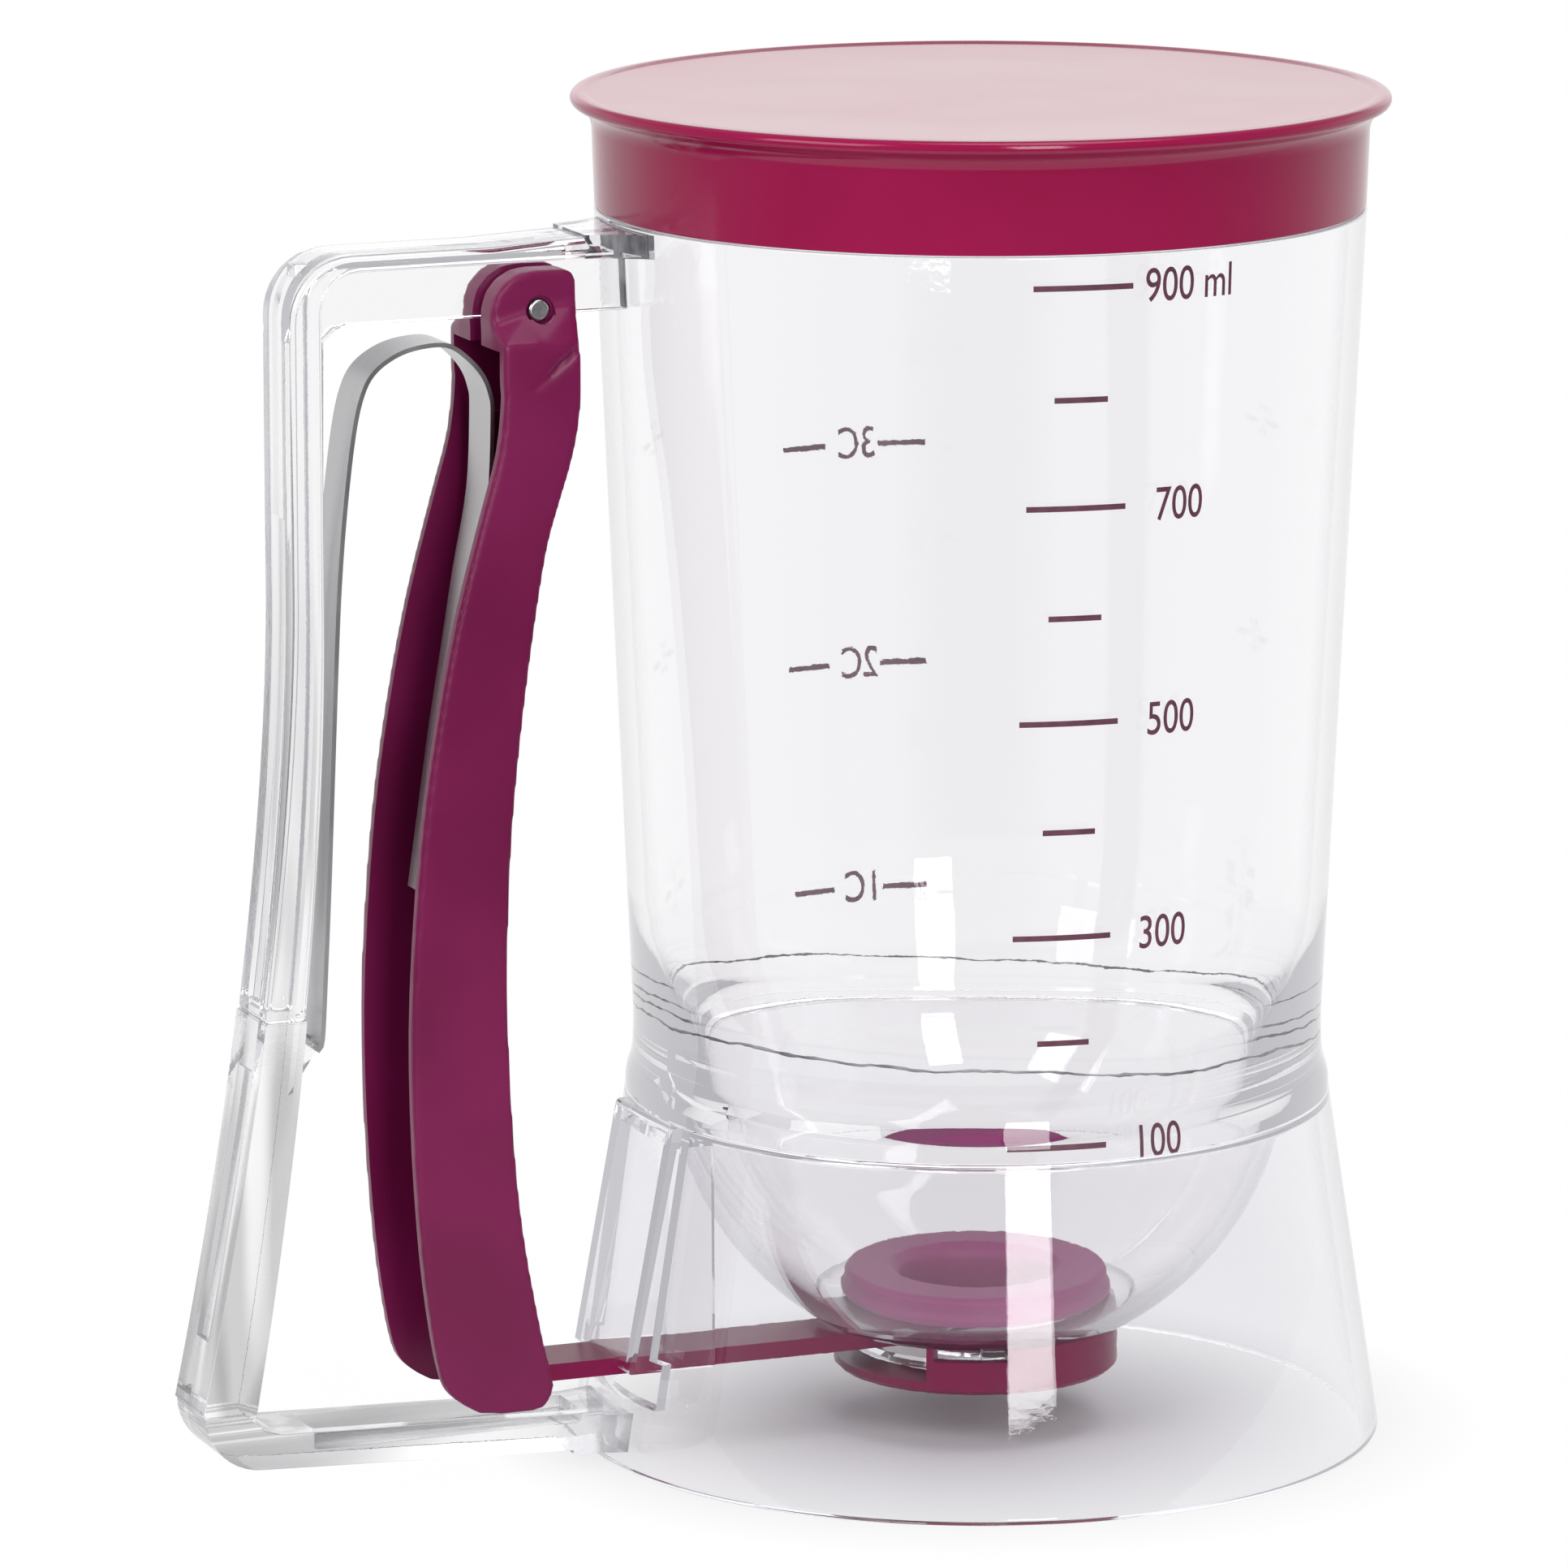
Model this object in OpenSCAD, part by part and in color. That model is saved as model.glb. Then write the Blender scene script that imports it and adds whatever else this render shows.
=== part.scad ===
// Trigger-handled batter dispenser: a clear tapered cup with a bowl-shaped bottom stands on a
// flared base. A sprung lever in the handle pulls a slide valve open under the bowl's outlet.
// Frame: origin on the cup's axis at the table, +Z up, the handle points along -X.

/* [Cup] */
// Outer radius of the cup wall at the lid shoulder
cup_r = 51.4; // [49:0.1:55]
// Outer radius of the cup wall at the bowl's rim
cup_low_r = 46.5; // [45:0.1:48.5]
// Height of the cup wall from the bowl's rim to the lid shoulder
cup_h = 109.3; // [100:0.5:125]
// Thickness of the cup wall
cup_wall = 2.3; // [1.8:0.1:2.8]
// Height of the neck that the lid is pushed over
neck_h = 11; // [8:0.5:14]
// Thickness of the neck
neck_wall = 1.3; // [1:0.1:1.8]
// Height of the cup wall that hangs below the bowl's rim as a ring
ring_drop = 10.7; // [9.5:0.1:12.5]

/* [Bowl] */
// Radius of the flat outlet plate at the bowl's bottom
plate_r = 21.2; // [20.2:0.1:23]
// Thickness of the outlet plate
plate_t = 3; // [2.4:0.1:3.6]
// Height of the outlet plate's underside above the table
outlet_z = 15; // [14.4:0.1:17]
// Thickness of the bowl
bowl_wall = 2; // [1.6:0.1:2.4]
// Radial space between the bowl and the cup wall's hanging ring
spigot_gap = 2.4; // [2.2:0.1:3]
// Outer radius of the collar under the outlet plate
collar_r = 17; // [16.5:0.1:17.6]
// Depth of the collar under the outlet plate
collar_h = 4; // [3.7:0.1:4.5]

/* [Lid] */
// Height of the lid above the shoulder
lid_h = 15.4; // [14.8:0.1:18]
// Overhang of the lid's rim past its skirt
lid_overhang = 2.8; // [1.5:0.1:4]
// Thickness of the lid's skirt
lid_skirt_t = 1.2; // [1:0.1:1.6]
// Radial fit of the lid's skirt on the neck
lid_fit = 0.1; // [0.05:0.05:0.3]

/* [Base] */
// Outer radius of the base at the table
base_r = 54.8; // [53:0.1:60]
// Thickness of the base wall
base_wall = 2.2; // [1.8:0.1:2.6]
// Half width of the rod window in the base
window_half = 13; // [11:0.5:15]
// Clear height of the rod window above and below the rod
window_gap = 0.5; // [0.4:0.1:0.9]

/* [Handle] */
// Width of the handle mouldings
grip_w = 12; // [10.5:0.1:12.4]
// Distance from the cup wall at the shoulder to the handle's outer face
grip_reach = 47.6; // [46:0.2:54]
// How far the handle's foot splays out past its top
grip_splay = 13; // [10:0.2:16]
// Depth of the grip at its top
grip_t = 4.4; // [3.8:0.1:5]
// Thickness of the top arm's flange
arm_t = 2.3; // [2:0.1:2.8]
// Depth of the web under the top arm
web_h = 7.4; // [7:0.1:8]
// Thickness of the web
web_t = 3; // [2.6:0.1:3.2]
// Thickness of the bottom arm
foot_t = 5.2; // [4.6:0.1:5.6]
// Height of the bottom arm's underside above the table, at the base
foot_z = 2.6; // [2.2:0.1:3.2]

/* [Lever] */
// Distance from the cup wall to the lever's pivot, at the shoulder
pivot_gap = 13.6; // [13.2:0.2:15]
// Radius of the pivot pin
pin_r = 1.6; // [1.4:0.05:1.8]
// Running clearance of the pivot pin in the web
pin_fit = 0.05; // [0.03:0.01:0.09]
// Width of the lever
lever_w = 21; // [20.2:0.1:22.4]
// Thickness of the lever's side walls
lever_wall = 1.8; // [1.5:0.1:2]
// Thickness of the lever's front web
lever_web = 2; // [1.7:0.1:2.4]
// Thickness of each ear at the pivot
ear_t = 4.1; // [3.4:0.1:4.4]

/* [Spring] */
// Width of the spring strip
strip_w = 8; // [6.5:0.1:8.8]
// Thickness of the spring strip
strip_t = 0.6; // [0.5:0.05:0.8]

/* [Valve] */
// Radius of the gate disc
gate_r = 12.5; // [12.2:0.1:12.8]
// Thickness of the gate disc and its rod
gate_t = 2.4; // [2.1:0.1:2.5]
// Width of the rod
rod_w = 9.5; // [8.6:0.1:10]
// Radius of the outlet hole through the seal
outlet_r = 10; // [9:0.1:10.5]
// Radius of the seal's flange
seal_r = 18.6; // [17.5:0.1:19.2]
// Height of the seal above its seat
seal_h = 3.5; // [3:0.1:4.2]
// Outer radius of the outlet ring
ring_r = 19.3; // [19.1:0.1:20.2]
// Depth of the outlet ring below the collar
ring_lip = 2.8; // [2.4:0.1:3]

/* [Hidden] */
$fn = 96;
eps = 0.01;          // overshoot of cuts
gap = 0.3;           // space between pieces that move past each other
seat = 0.2;          // flat seating gap
bond = 0.05;         // thickness of a bonded joint

// Heights, from the table up
plate_top = outlet_z + plate_t;
bowl_r = cup_low_r - cup_wall - spigot_gap + 0.2;              // outer radius of the bowl
bowl_z = outlet_z + sqrt(bowl_r * bowl_r - plate_r * plate_r); // centre of the bowl's sphere
rim_z = bowl_z + 6.3;
seam_z = rim_z - ring_drop;
shoulder_z = rim_z + cup_h;
neck_z = shoulder_z + neck_h;
lid_z = shoulder_z + lid_h;
ring_in_r = cup_low_r - cup_wall;      // inner radius of the hanging ring, where the bowl is bonded
ring_out_r = cup_low_r + 0.7;          // the ring swells a little at its lower edge
neck_r = cup_r - cup_wall + neck_wall;
lid_skirt_r = neck_r + lid_fit + lid_skirt_t;
rim_edge = 0.9;                        // rounding of the lid's rim

function cup_out(z) = cup_low_r + (cup_r - cup_low_r) * (z - rim_z) / cup_h;
base_top_r = ring_out_r + 0.6;
function base_out(z) = base_r + (base_top_r - base_r) * z / seam_z;

// Valve levels
gate_z = outlet_z - gate_t;            // the gate runs against the outlet plate's underside
ledge_z = gate_z - 0.1;
collar_z = outlet_z - collar_h;
ring_z = collar_z - ring_lip;
ring_top = outlet_z - seat;
ring_bore = collar_r + 0.3;
gate_travel = 20;
rod_z = gate_z + gate_t / 2;

// Lever and pivot
web_z = shoulder_z - 3.8;              // underside of the top arm's flange
pivot_x = -(cup_r + pivot_gap);
pivot_z = web_z - web_h + 1.3;
lever_len = pivot_z - rod_z;
ear_in = web_t / 2 + 0.6;              // inner face of each ear
ear_out = ear_in + ear_t;
lug_half = ear_in - 0.1;               // boss of the web between the ears
inner_half = lever_w / 2 - lever_wall; // half width inside the lever's channel
slot_half = rod_w / 2 + 0.5;
head_half = inner_half - 0.6;
head_len = 3;

// Grip line: straight near the top, splaying out towards the foot
grip_x = -(cup_r + grip_reach);
straight_z = pivot_z - 37;
foot_level = 16;
function grip_out(z) = z > straight_z ? grip_x
    : grip_x - grip_splay * pow((straight_z - z) / (straight_z - foot_level), 1.7);
function grip_depth(z) =
    grip_t + 3 * pow(max(0, straight_z - z) / (straight_z - foot_level), 1.3);
function grip_in(z) = grip_out(z) + grip_depth(z);
grip_seam = rim_z + 7.2;
rib_h = 1.3;                           // height of the rib that the spring lies on
function foot_under(x) = foot_z + 2.2 * max(0, -x - base_r) / (grip_reach + grip_splay);

// Smooth curve through hand-set points
function spline_at(p, i, t) =
    let (n = len(p) - 1, a = p[max(i - 1, 0)], b = p[i], c = p[min(i + 1, n)], d = p[min(i + 2, n)])
    0.5 * (2 * b + (c - a) * t + (2 * a - 5 * b + 4 * c - d) * t * t
           + (3 * b - a - 3 * c + d) * t * t * t);
function smooth(p, steps) =
    [for (i = [0 : len(p) - 2], s = [0 : steps - 1]) spline_at(p, i, s / steps), p[len(p) - 1]];

// Extrudes an outline in the X-Z plane to a width centred on the handle's plane
module slab(width) {
    rotate([90, 0, 0])
        linear_extrude(height = width, center = true)
            children();
}

// ---- Cup ----
module cup() {
    color([0.93, 0.94, 0.97, 0.4])
        rotate_extrude()
            polygon([
                [ring_out_r, seam_z + seat], [ring_out_r - 0.1, seam_z + 3], [cup_low_r, rim_z],
                [cup_r, shoulder_z], [neck_r, shoulder_z], [neck_r, neck_z - 0.5],
                [neck_r - 0.5, neck_z], [neck_r - neck_wall, neck_z],
                [cup_r - cup_wall, shoulder_z], [ring_in_r, rim_z], [ring_in_r, seam_z + seat]
            ]);
}

// ---- Bowl with outlet plate, collar and bayonet lugs ----
lug_start = -111;
lug_turn = 180;
lug_angle = 10;
lug_z = collar_z + 1.9;
lug_t = 1.5;
flare_h = 5.3;                         // the bowl flares out to the cup wall over this height

module bowl_shell() {
    // bonded flange at the rim, then the flare and the round bottom
    rotate_extrude()
        polygon([
            [ring_in_r - bond, rim_z], [ring_in_r - bond, rim_z - 3.2],
            [bowl_r, rim_z - flare_h - 1],
            [bowl_r, bowl_z], [bowl_r - bowl_wall, bowl_z], [bowl_r - bowl_wall, rim_z - flare_h]
        ]);
    rotate_extrude()
        difference() {
            translate([0, bowl_z]) circle(r = bowl_r);
            translate([0, bowl_z]) circle(r = bowl_r - bowl_wall);
            translate([-2 * bowl_r, bowl_z]) square([4 * bowl_r, 2 * bowl_r]);
            translate([-2 * bowl_r, -bowl_r]) square([2 * bowl_r, 4 * bowl_r]);
            translate([0, outlet_z - 2 * bowl_r]) square([2 * bowl_r, 2 * bowl_r]);
        }
}

module bowl() {
    color([0.93, 0.94, 0.97, 0.4])
        difference() {
            union() {
                bowl_shell();
                translate([0, 0, outlet_z]) cylinder(r = plate_r + 0.3, h = plate_t);
                translate([0, 0, collar_z]) cylinder(r = collar_r, h = collar_h + 1);
                for (turn = [0, lug_turn])
                    rotate(lug_start + turn)
                        translate([0, 0, lug_z])
                            rotate_extrude(angle = lug_angle)
                                translate([collar_r - 1, 0]) square([ring_r - collar_r + 0.7, lug_t]);
            }
            // hole for the seal's neck, pocket for the gate, and the mouth below it
            translate([0, 0, ledge_z]) cylinder(r = seal_neck_r + 0.05, h = 3 * plate_t);
            translate([0, 0, ledge_z]) cylinder(r = gate_r + gap, h = outlet_z - ledge_z);
            translate([0, 0, collar_z - 1]) cylinder(r = gate_r - 0.7, h = collar_h);
            translate([-2 * collar_r, -gate_r - gap, ledge_z])
                cube([2 * collar_r, 2 * (gate_r + gap), outlet_z - ledge_z]);
        }
}

// ---- Seal ----
seal_neck_r = outlet_r + 2.2;
module seal() {
    color([0.62, 0.13, 0.38])
        rotate_extrude()
            polygon([
                [outlet_r, outlet_z + 0.1], [seal_neck_r, outlet_z + 0.1], [seal_neck_r, plate_top],
                [seal_r, plate_top], [seal_r, plate_top + 1], [seal_r - 0.6, plate_top + 1.6],
                [seal_r - 0.6, plate_top + seal_h - 0.5], [seal_r - 1.1, plate_top + seal_h],
                [outlet_r + 1.7, plate_top + seal_h], [outlet_r + 0.5, plate_top + seal_h - 1.2],
                [outlet_r, plate_top + seal_h - 2.2]
            ]);
}

// ---- Outlet ring: bayonet cap round the collar, with a slot for the slide ----
slot_from = 115;
slot_to = 227;
slot_floor = ring_z + 1.6;
twist = 18;
module ring_sector(from, to, low, high) {
    rotate(from)
        translate([0, 0, low])
            rotate_extrude(angle = to - from)
                translate([collar_r - 2, 0]) square([8, high - low]);
}

module outlet_ring() {
    color([0.47, 0.08, 0.27])
        difference() {
            rotate_extrude()
                polygon([
                    [gate_r + 0.8, ring_z], [ring_r - 0.6, ring_z], [ring_r, ring_z + 0.6],
                    [ring_r, ring_top - 0.4], [ring_r - 0.4, ring_top], [ring_bore, ring_top],
                    [ring_bore, slot_floor], [gate_r + 0.8, slot_floor]
                ]);
            ring_sector(slot_from, slot_to, slot_floor, ring_top + 1);
            for (turn = [0, lug_turn])
                rotate(turn) {
                    // travel of the lug, and the notch where it drops in
                    ring_sector(lug_start - twist - 1, lug_start + lug_angle + 1,
                                lug_z - 0.2, lug_z + lug_t + 0.2);
                    ring_sector(lug_start - twist - 1, lug_start - twist + lug_angle + 1,
                                lug_z - 0.2, ring_top + 1);
                }
        }
}

// ---- Valve slide: gate disc, flat rod and cross head ----
module valve_slide() {
    color([0.50, 0.08, 0.29])
        difference() {
            translate([0, 0, gate_z]) {
                cylinder(r = gate_r, h = gate_t - 0.1);
                translate([head_x - head_len / 2, -rod_w / 2, 0])
                    cube([-head_x + head_len / 2 - 6, rod_w, gate_t - 0.1]);
                translate([head_x - head_len, -head_half, 0])
                    cube([head_len, 2 * head_half, gate_t - 0.1]);
            }
            // relief groove along the rod's underside
            translate([head_x + 10, -rod_w / 2 + 2, gate_z - 1])
                cube([30, rod_w - 4, 1.5]);
        }
}

// ---- Lid ----
lid_pad = 0.3;
module lid() {
    lip_r = lid_skirt_r + lid_overhang;
    color([0.66, 0.10, 0.35])
        rotate_extrude() {
            polygon([
                [lid_skirt_r - 0.4, shoulder_z + seat], [lid_skirt_r, shoulder_z + neck_h + 0.6],
                [lid_skirt_r + 0.25 * lid_overhang, lid_z - 3.1],
                [lip_r - rim_edge, lid_z - 2 * rim_edge], [lip_r - rim_edge, lid_z], [0, lid_z],
                [0, lid_z - 2], [neck_r - neck_wall - 3.6, lid_z - 2],
                [neck_r - neck_wall - 3.2, neck_z - 3], [neck_r - neck_wall - 1.7, neck_z - 3],
                [neck_r - neck_wall - lid_pad, neck_z - 2],
                [neck_r - neck_wall - lid_pad, neck_z + seat], [neck_r + lid_fit, neck_z + seat],
                [neck_r + lid_fit, shoulder_z + seat]
            ]);
            intersection() {
                translate([lip_r - rim_edge, lid_z - rim_edge]) circle(r = rim_edge);
                translate([0, lid_z - 3 * rim_edge]) square([2 * lip_r, 4 * rim_edge]);
            }
        }
}

// ---- Base: flared skirt, spigot inside the cup's ring, and a housing over the rod window ----
house_half = 10;                       // the housing's side walls run on inwards as cheeks
house_wall = 1.5;
house_low = 2.4;                       // stand-off of the housing's face, at the window
house_high = 0.9;                      // and at the seam
cheek_end = -41.6;
spigot_r = ring_in_r - 0.1;
spigot_t = 1.6;
window_low = rod_z - gate_t / 2 - 3.3;
window_high = outlet_z + window_gap;

module skirt() {
    difference() {
        cylinder(r1 = base_r, r2 = base_top_r, h = seam_z);
        translate([0, 0, -eps])
            cylinder(r1 = base_r - base_wall, r2 = base_top_r - base_wall, h = seam_z + 2 * eps);
        translate([-base_r - 5, -window_half, window_low])
            cube([base_r - 30, 2 * window_half, window_high - window_low]);
    }
}

module house_profile(inset) {
    polygon([
        [-base_out(window_high) - house_low + inset, window_high - 1.7],
        [-base_out(seam_z) - house_high + inset, seam_z - inset],
        [cheek_end, seam_z - inset], [cheek_end, window_high - 1.7]
    ]);
}

module base() {
    color([0.93, 0.94, 0.97, 0.4])
        difference() {
            union() {
                skirt();
                slab(2 * house_half) house_profile(0);
                // ledge and spigot that plug into the cup's ring
                rotate_extrude()
                    polygon([
                        [spigot_r, seam_z - 2], [spigot_r, bowl_z - gap],
                        [spigot_r - spigot_t, bowl_z - gap],
                        [spigot_r - spigot_t, seam_z - 3], [base_out(seam_z) - 1, seam_z - 3],
                        [base_out(seam_z) - 1, seam_z - 2]
                    ]);
            }
            // hollow of the housing, open to the window below it
            slab(2 * (house_half - house_wall))
                difference() {
                    house_profile(house_wall + 1.5);
                    translate([cheek_end + 1, 0]) square([20, seam_z + 1]);
                }
            translate([-base_r - 5, -house_half + house_wall, window_high - 3])
                cube([base_r + 5 + cheek_end + 5, 2 * (house_half - house_wall), 3]);
            // clear of the bowl
            translate([0, 0, bowl_z]) sphere(r = bowl_r + 0.4);
        }
}

// ---- Upper handle: top arm with its web, and the grip down to the seam ----
corner_r = 8.5;
arm_top = web_z + arm_t;
arm_end = -(cup_r - 4);

module upper_profile() {
    steps = 9;
    polygon(concat(
        [[arm_end, arm_top + 1.2], [-cup_r - 8, arm_top + 0.7], [-cup_r - 20, arm_top + 0.1]],
        [for (a = [90 : 15 : 180])
            [grip_x + corner_r + corner_r * cos(a), arm_top - corner_r + corner_r * sin(a)]],
        [for (s = [0 : steps])
            let (z = straight_z + (grip_seam - straight_z) * s / steps) [grip_out(z), z]],
        [for (s = [steps : -1 : 0])
            let (z = straight_z + (grip_seam - straight_z) * s / steps) [grip_in(z), z]],
        [for (a = [180 : -15 : 90])
            [grip_x + grip_t + 5 + 5 * cos(a), web_z - 5 + 5 * sin(a)]],
        [[arm_end, web_z + 0.3]]
    ));
}

// web under the arm, running on down the grip as the rib that the spring lies on
module web_profile() {
    steps = 9;
    polygon(concat(
        [[arm_end, web_z + 1], [grip_x + 2, web_z + 1]],
        [for (s = [0 : steps])
            let (z = straight_z + (grip_seam - straight_z) * s / steps) [grip_out(z) + 2, z]],
        [for (s = [steps : -1 : 0])
            let (z = straight_z + (grip_seam - straight_z) * s / steps) [grip_in(z) + rib_h, z]],
        [[grip_x + grip_t + rib_h, web_z - web_h], [arm_end, web_z - web_h]]
    ));
}

module cup_face() {
    // the cup's own outer face, which the arm is bonded to
    translate([0, 0, rim_z])
        cylinder(r1 = cup_low_r, r2 = cup_r, h = cup_h);
    translate([0, 0, shoulder_z - eps]) cylinder(r = cup_r, h = 10);
}

module upper_handle() {
    color([0.93, 0.94, 0.97, 0.4])
        difference() {
            union() {
                slab(grip_w) upper_profile();
                slab(web_t) web_profile();
                // the arm widens where it meets the cup
                intersection() {
                    slab(3 * grip_w) upper_profile();
                    translate([0, 0, web_z - 2])
                        linear_extrude(height = 8)
                            polygon([[arm_end, -10], [-cup_r + 1, -10], [-cup_r - 7, -grip_w / 2],
                                     [-cup_r - 7, grip_w / 2], [-cup_r + 1, 10], [arm_end, 10]]);
                }
                // lug round the pivot
                translate([pivot_x, 0, pivot_z])
                    rotate([90, 0, 0]) cylinder(r = 3.6, h = 2 * lug_half, center = true);
            }
            translate([pivot_x, 0, pivot_z])
                rotate([90, 0, 0]) cylinder(r = pin_r + pin_fit, h = grip_w, center = true);
            cup_face();
            // nothing stands above the shoulder, where the lid's skirt comes down
            translate([-cup_r - 3, -grip_w, shoulder_z - seat]) cube([cup_r, 2 * grip_w, 5]);
            // shallow groove down the grip's outer face
            grip_groove(grip_seam + 2, straight_z + 12);
        }
}

groove_w = 5;
groove_d = 0.8;
module grip_groove(low, high) {
    steps = 8;
    slab(groove_w)
        polygon(concat(
            [for (s = [0 : steps]) let (z = low + (high - low) * s / steps)
                [grip_out(z) + groove_d, z]],
            [for (s = [steps : -1 : 0]) let (z = low + (high - low) * s / steps)
                [grip_out(z) - 2, z]]
        ));
}

// ---- Lower handle: the grip below the seam and the bottom arm ----
foot_end = -(base_r - 6);
heel_r = 8;
heel_x = grip_out(foot_level) - 0.4;
heel_z = foot_under(heel_x) + 0.2;

module lower_profile() {
    steps = 8;
    low_z = heel_z + heel_r;
    inner_z = foot_under(grip_in(14)) + foot_t + 2;
    polygon(concat(
        [for (s = [0 : steps])
            let (z = grip_seam - seat + (low_z - grip_seam) * s / steps) [grip_out(z), z]],
        [for (a = [180 : 15 : 270])
            [heel_x + heel_r + heel_r * cos(a), heel_z + heel_r + heel_r * sin(a)]],
        [[foot_end, foot_z], [foot_end, foot_z + foot_t],
         [grip_in(inner_z) + 2, foot_under(grip_in(inner_z)) + foot_t]],
        [for (s = [steps : -1 : 0])
            let (z = grip_seam - seat + (inner_z - grip_seam) * s / steps) [grip_in(z), z]]
    ));
}

module base_face() {
    // the base's own outer face, which the arm is bonded to
    cylinder(r1 = base_r, r2 = base_top_r, h = seam_z);
}

module lower_handle() {
    color([0.93, 0.94, 0.97, 0.4])
        difference() {
            union() {
                slab(grip_w) lower_profile();
                intersection() {
                    slab(3 * grip_w) lower_profile();
                    translate([0, 0, -1])
                        linear_extrude(height = 15)
                            polygon([[foot_end, -8], [-base_r + 1, -8], [-base_r - 6, -grip_w / 2],
                                     [-base_r - 6, grip_w / 2], [-base_r + 1, 8], [foot_end, 8]]);
                }
                // catch that the spring's foot stands on
                slab(web_t)
                    polygon([
                        [grip_in(grip_seam) - 1, grip_seam - seat],
                        [grip_in(grip_seam) + rib_h, grip_seam - seat],
                        [grip_in(leg_foot) + rib_h, leg_foot - gap], [leg_x(0) + 0.6, leg_foot - gap],
                        [leg_x(0) + 0.6, leg_foot - 1.5], [grip_in(grip_seam) - 2, grip_seam - 12]
                    ]);
            }
            base_face();
            // trough along the arm's top
            translate([-base_r - 32, -grip_w / 2 + 2, foot_z + foot_t - 1.8])
                cube([28, grip_w - 4, foot_t]);
            grip_groove(foot_level + 6, grip_seam - 6);
        }
}

// ---- Lever ----
// Side outline as [x from the pivot, share of the way down from the pivot to the rod]
rim_points = [[-6.0, 0.035], [-6.0, 0.07], [-6.5, 0.125], [-8.7, 0.18], [-12.4, 0.275],
              [-15.3, 0.375], [-17.5, 0.48], [-19.0, 0.62], [-19.1, 0.73], [-18.3, 0.84],
              [-17.1, 0.92], [-15.5, 0.985], [-13.4, 1.008], [-10.6, 1.022]];
web_points = [[4.2, 0.045], [3.8, 0.09], [2.8, 0.13], [0.5, 0.18], [-1.1, 0.22], [-3.1, 0.30],
              [-5.0, 0.40], [-6.3, 0.50], [-6.85, 0.62], [-6.3, 0.74], [-4.95, 0.85], [-2.2, 0.955],
              [-1.0, 0.99], [-0.6, 1.008], [-1.1, 1.02]];
function lever_point(p) = [pivot_x + p[0], pivot_z - lever_len * p[1]];
rim_line = smooth([for (p = rim_points) lever_point(p)], 3);
web_line = smooth([for (p = web_points) lever_point(p)], 3);
lever_foot = rod_z - 3.4;
// front face's x at a height, read off the web's line
function lever_web_x(z) =
    lookup(-z, [for (p = web_line) [-p[1], p[0]]]) - lever_web;
head_x = lever_web_x(rod_z) - 0.4;     // the rod's cross head stops 0.4 short of the web
shoulder_top = pivot_z - 3.4;
lever_span = grip_reach;               // cutters reach this far to each side of the pivot
throat_drop = lever_wall + 1.2;        // top of the hollow, below the shoulder's top
head_room = rod_z + gate_t;            // the rod's cross head swings below this height
foot_drop = 2 * lever_web + 1;         // the hollow runs out this far below the foot

module lever_profile() {
    polygon(concat(
        [for (p = rim_line) p],
        [[pivot_x - 8.6, lever_foot], [pivot_x - 2.8, lever_foot]],
        [for (i = [len(web_line) - 1 : -1 : 0]) web_line[i]]
    ));
}

// hollow behind the web, open towards the grip and at the foot
module lever_hollow() {
    polygon(concat(
        [[pivot_x - lever_span, shoulder_top - throat_drop],
         [pivot_x - lever_span, lever_foot - foot_drop],
         [lever_web_x(rod_z) + 0.25, lever_foot - foot_drop], [lever_web_x(rod_z) + 0.25, head_room]],
        [for (i = [len(web_line) - 1 : -1 : 0])
            if (web_line[i][1] > head_room + 0.3 && web_line[i][1] < shoulder_top - throat_drop - 0.1)
                web_line[i] - [lever_web, 0]],
        [[lever_web_x(shoulder_top - throat_drop), shoulder_top - throat_drop]]
    ));
}

module ear_profile() {
    polygon([
        [pivot_x - 6.4, pivot_z - 1.7], [pivot_x - 6.2, pivot_z - 0.1], [pivot_x - 5.8, pivot_z + 1.7],
        [pivot_x - 4.3, pivot_z + 3.3], [pivot_x - 2.6, pivot_z + 4.3], [pivot_x - 0.9, pivot_z + 4.9],
        [pivot_x + 3.6, pivot_z + 4.9], [pivot_x + 4.5, pivot_z + 4.1], [pivot_x + 4.9, pivot_z + 0.4],
        [pivot_x + 5.2, pivot_z - 1.2], [pivot_x + 4.6, pivot_z - 5], [pivot_x + 4, pivot_z - 12],
        [pivot_x - 0.6, pivot_z - 12], [pivot_x - 0.9, pivot_z - 4], [pivot_x - 5.6, pivot_z - 3.2]
    ]);
}

module lever_shoulder() {
    // slopes from the ears out to the full width
    hull() {
        slab(2 * ear_out)
            polygon([[pivot_x - 5.6, shoulder_top + 2], [pivot_x - 2.5, shoulder_top + 4.2],
                     [pivot_x + 4.7, shoulder_top + 4], [pivot_x + 4.5, shoulder_top - 1]]);
        slab(lever_w)
            polygon([[pivot_x - 6, shoulder_top - 0.7], [pivot_x + 4.1, shoulder_top - 1],
                     [pivot_x + 4, shoulder_top - 7.6], [pivot_x - 6.2, shoulder_top - 9.6]]);
    }
}

// crest of the rib that the spring's leg lies on
rib_points = [[-5.4, 0.097], [-5.9, 0.171], [-7.9, 0.246], [-9.7, 0.321], [-11.5, 0.396],
              [-13.1, 0.472], [-14.5, 0.54]];
rib_line = smooth([for (p = rib_points) lever_point(p)], 3);

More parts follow.
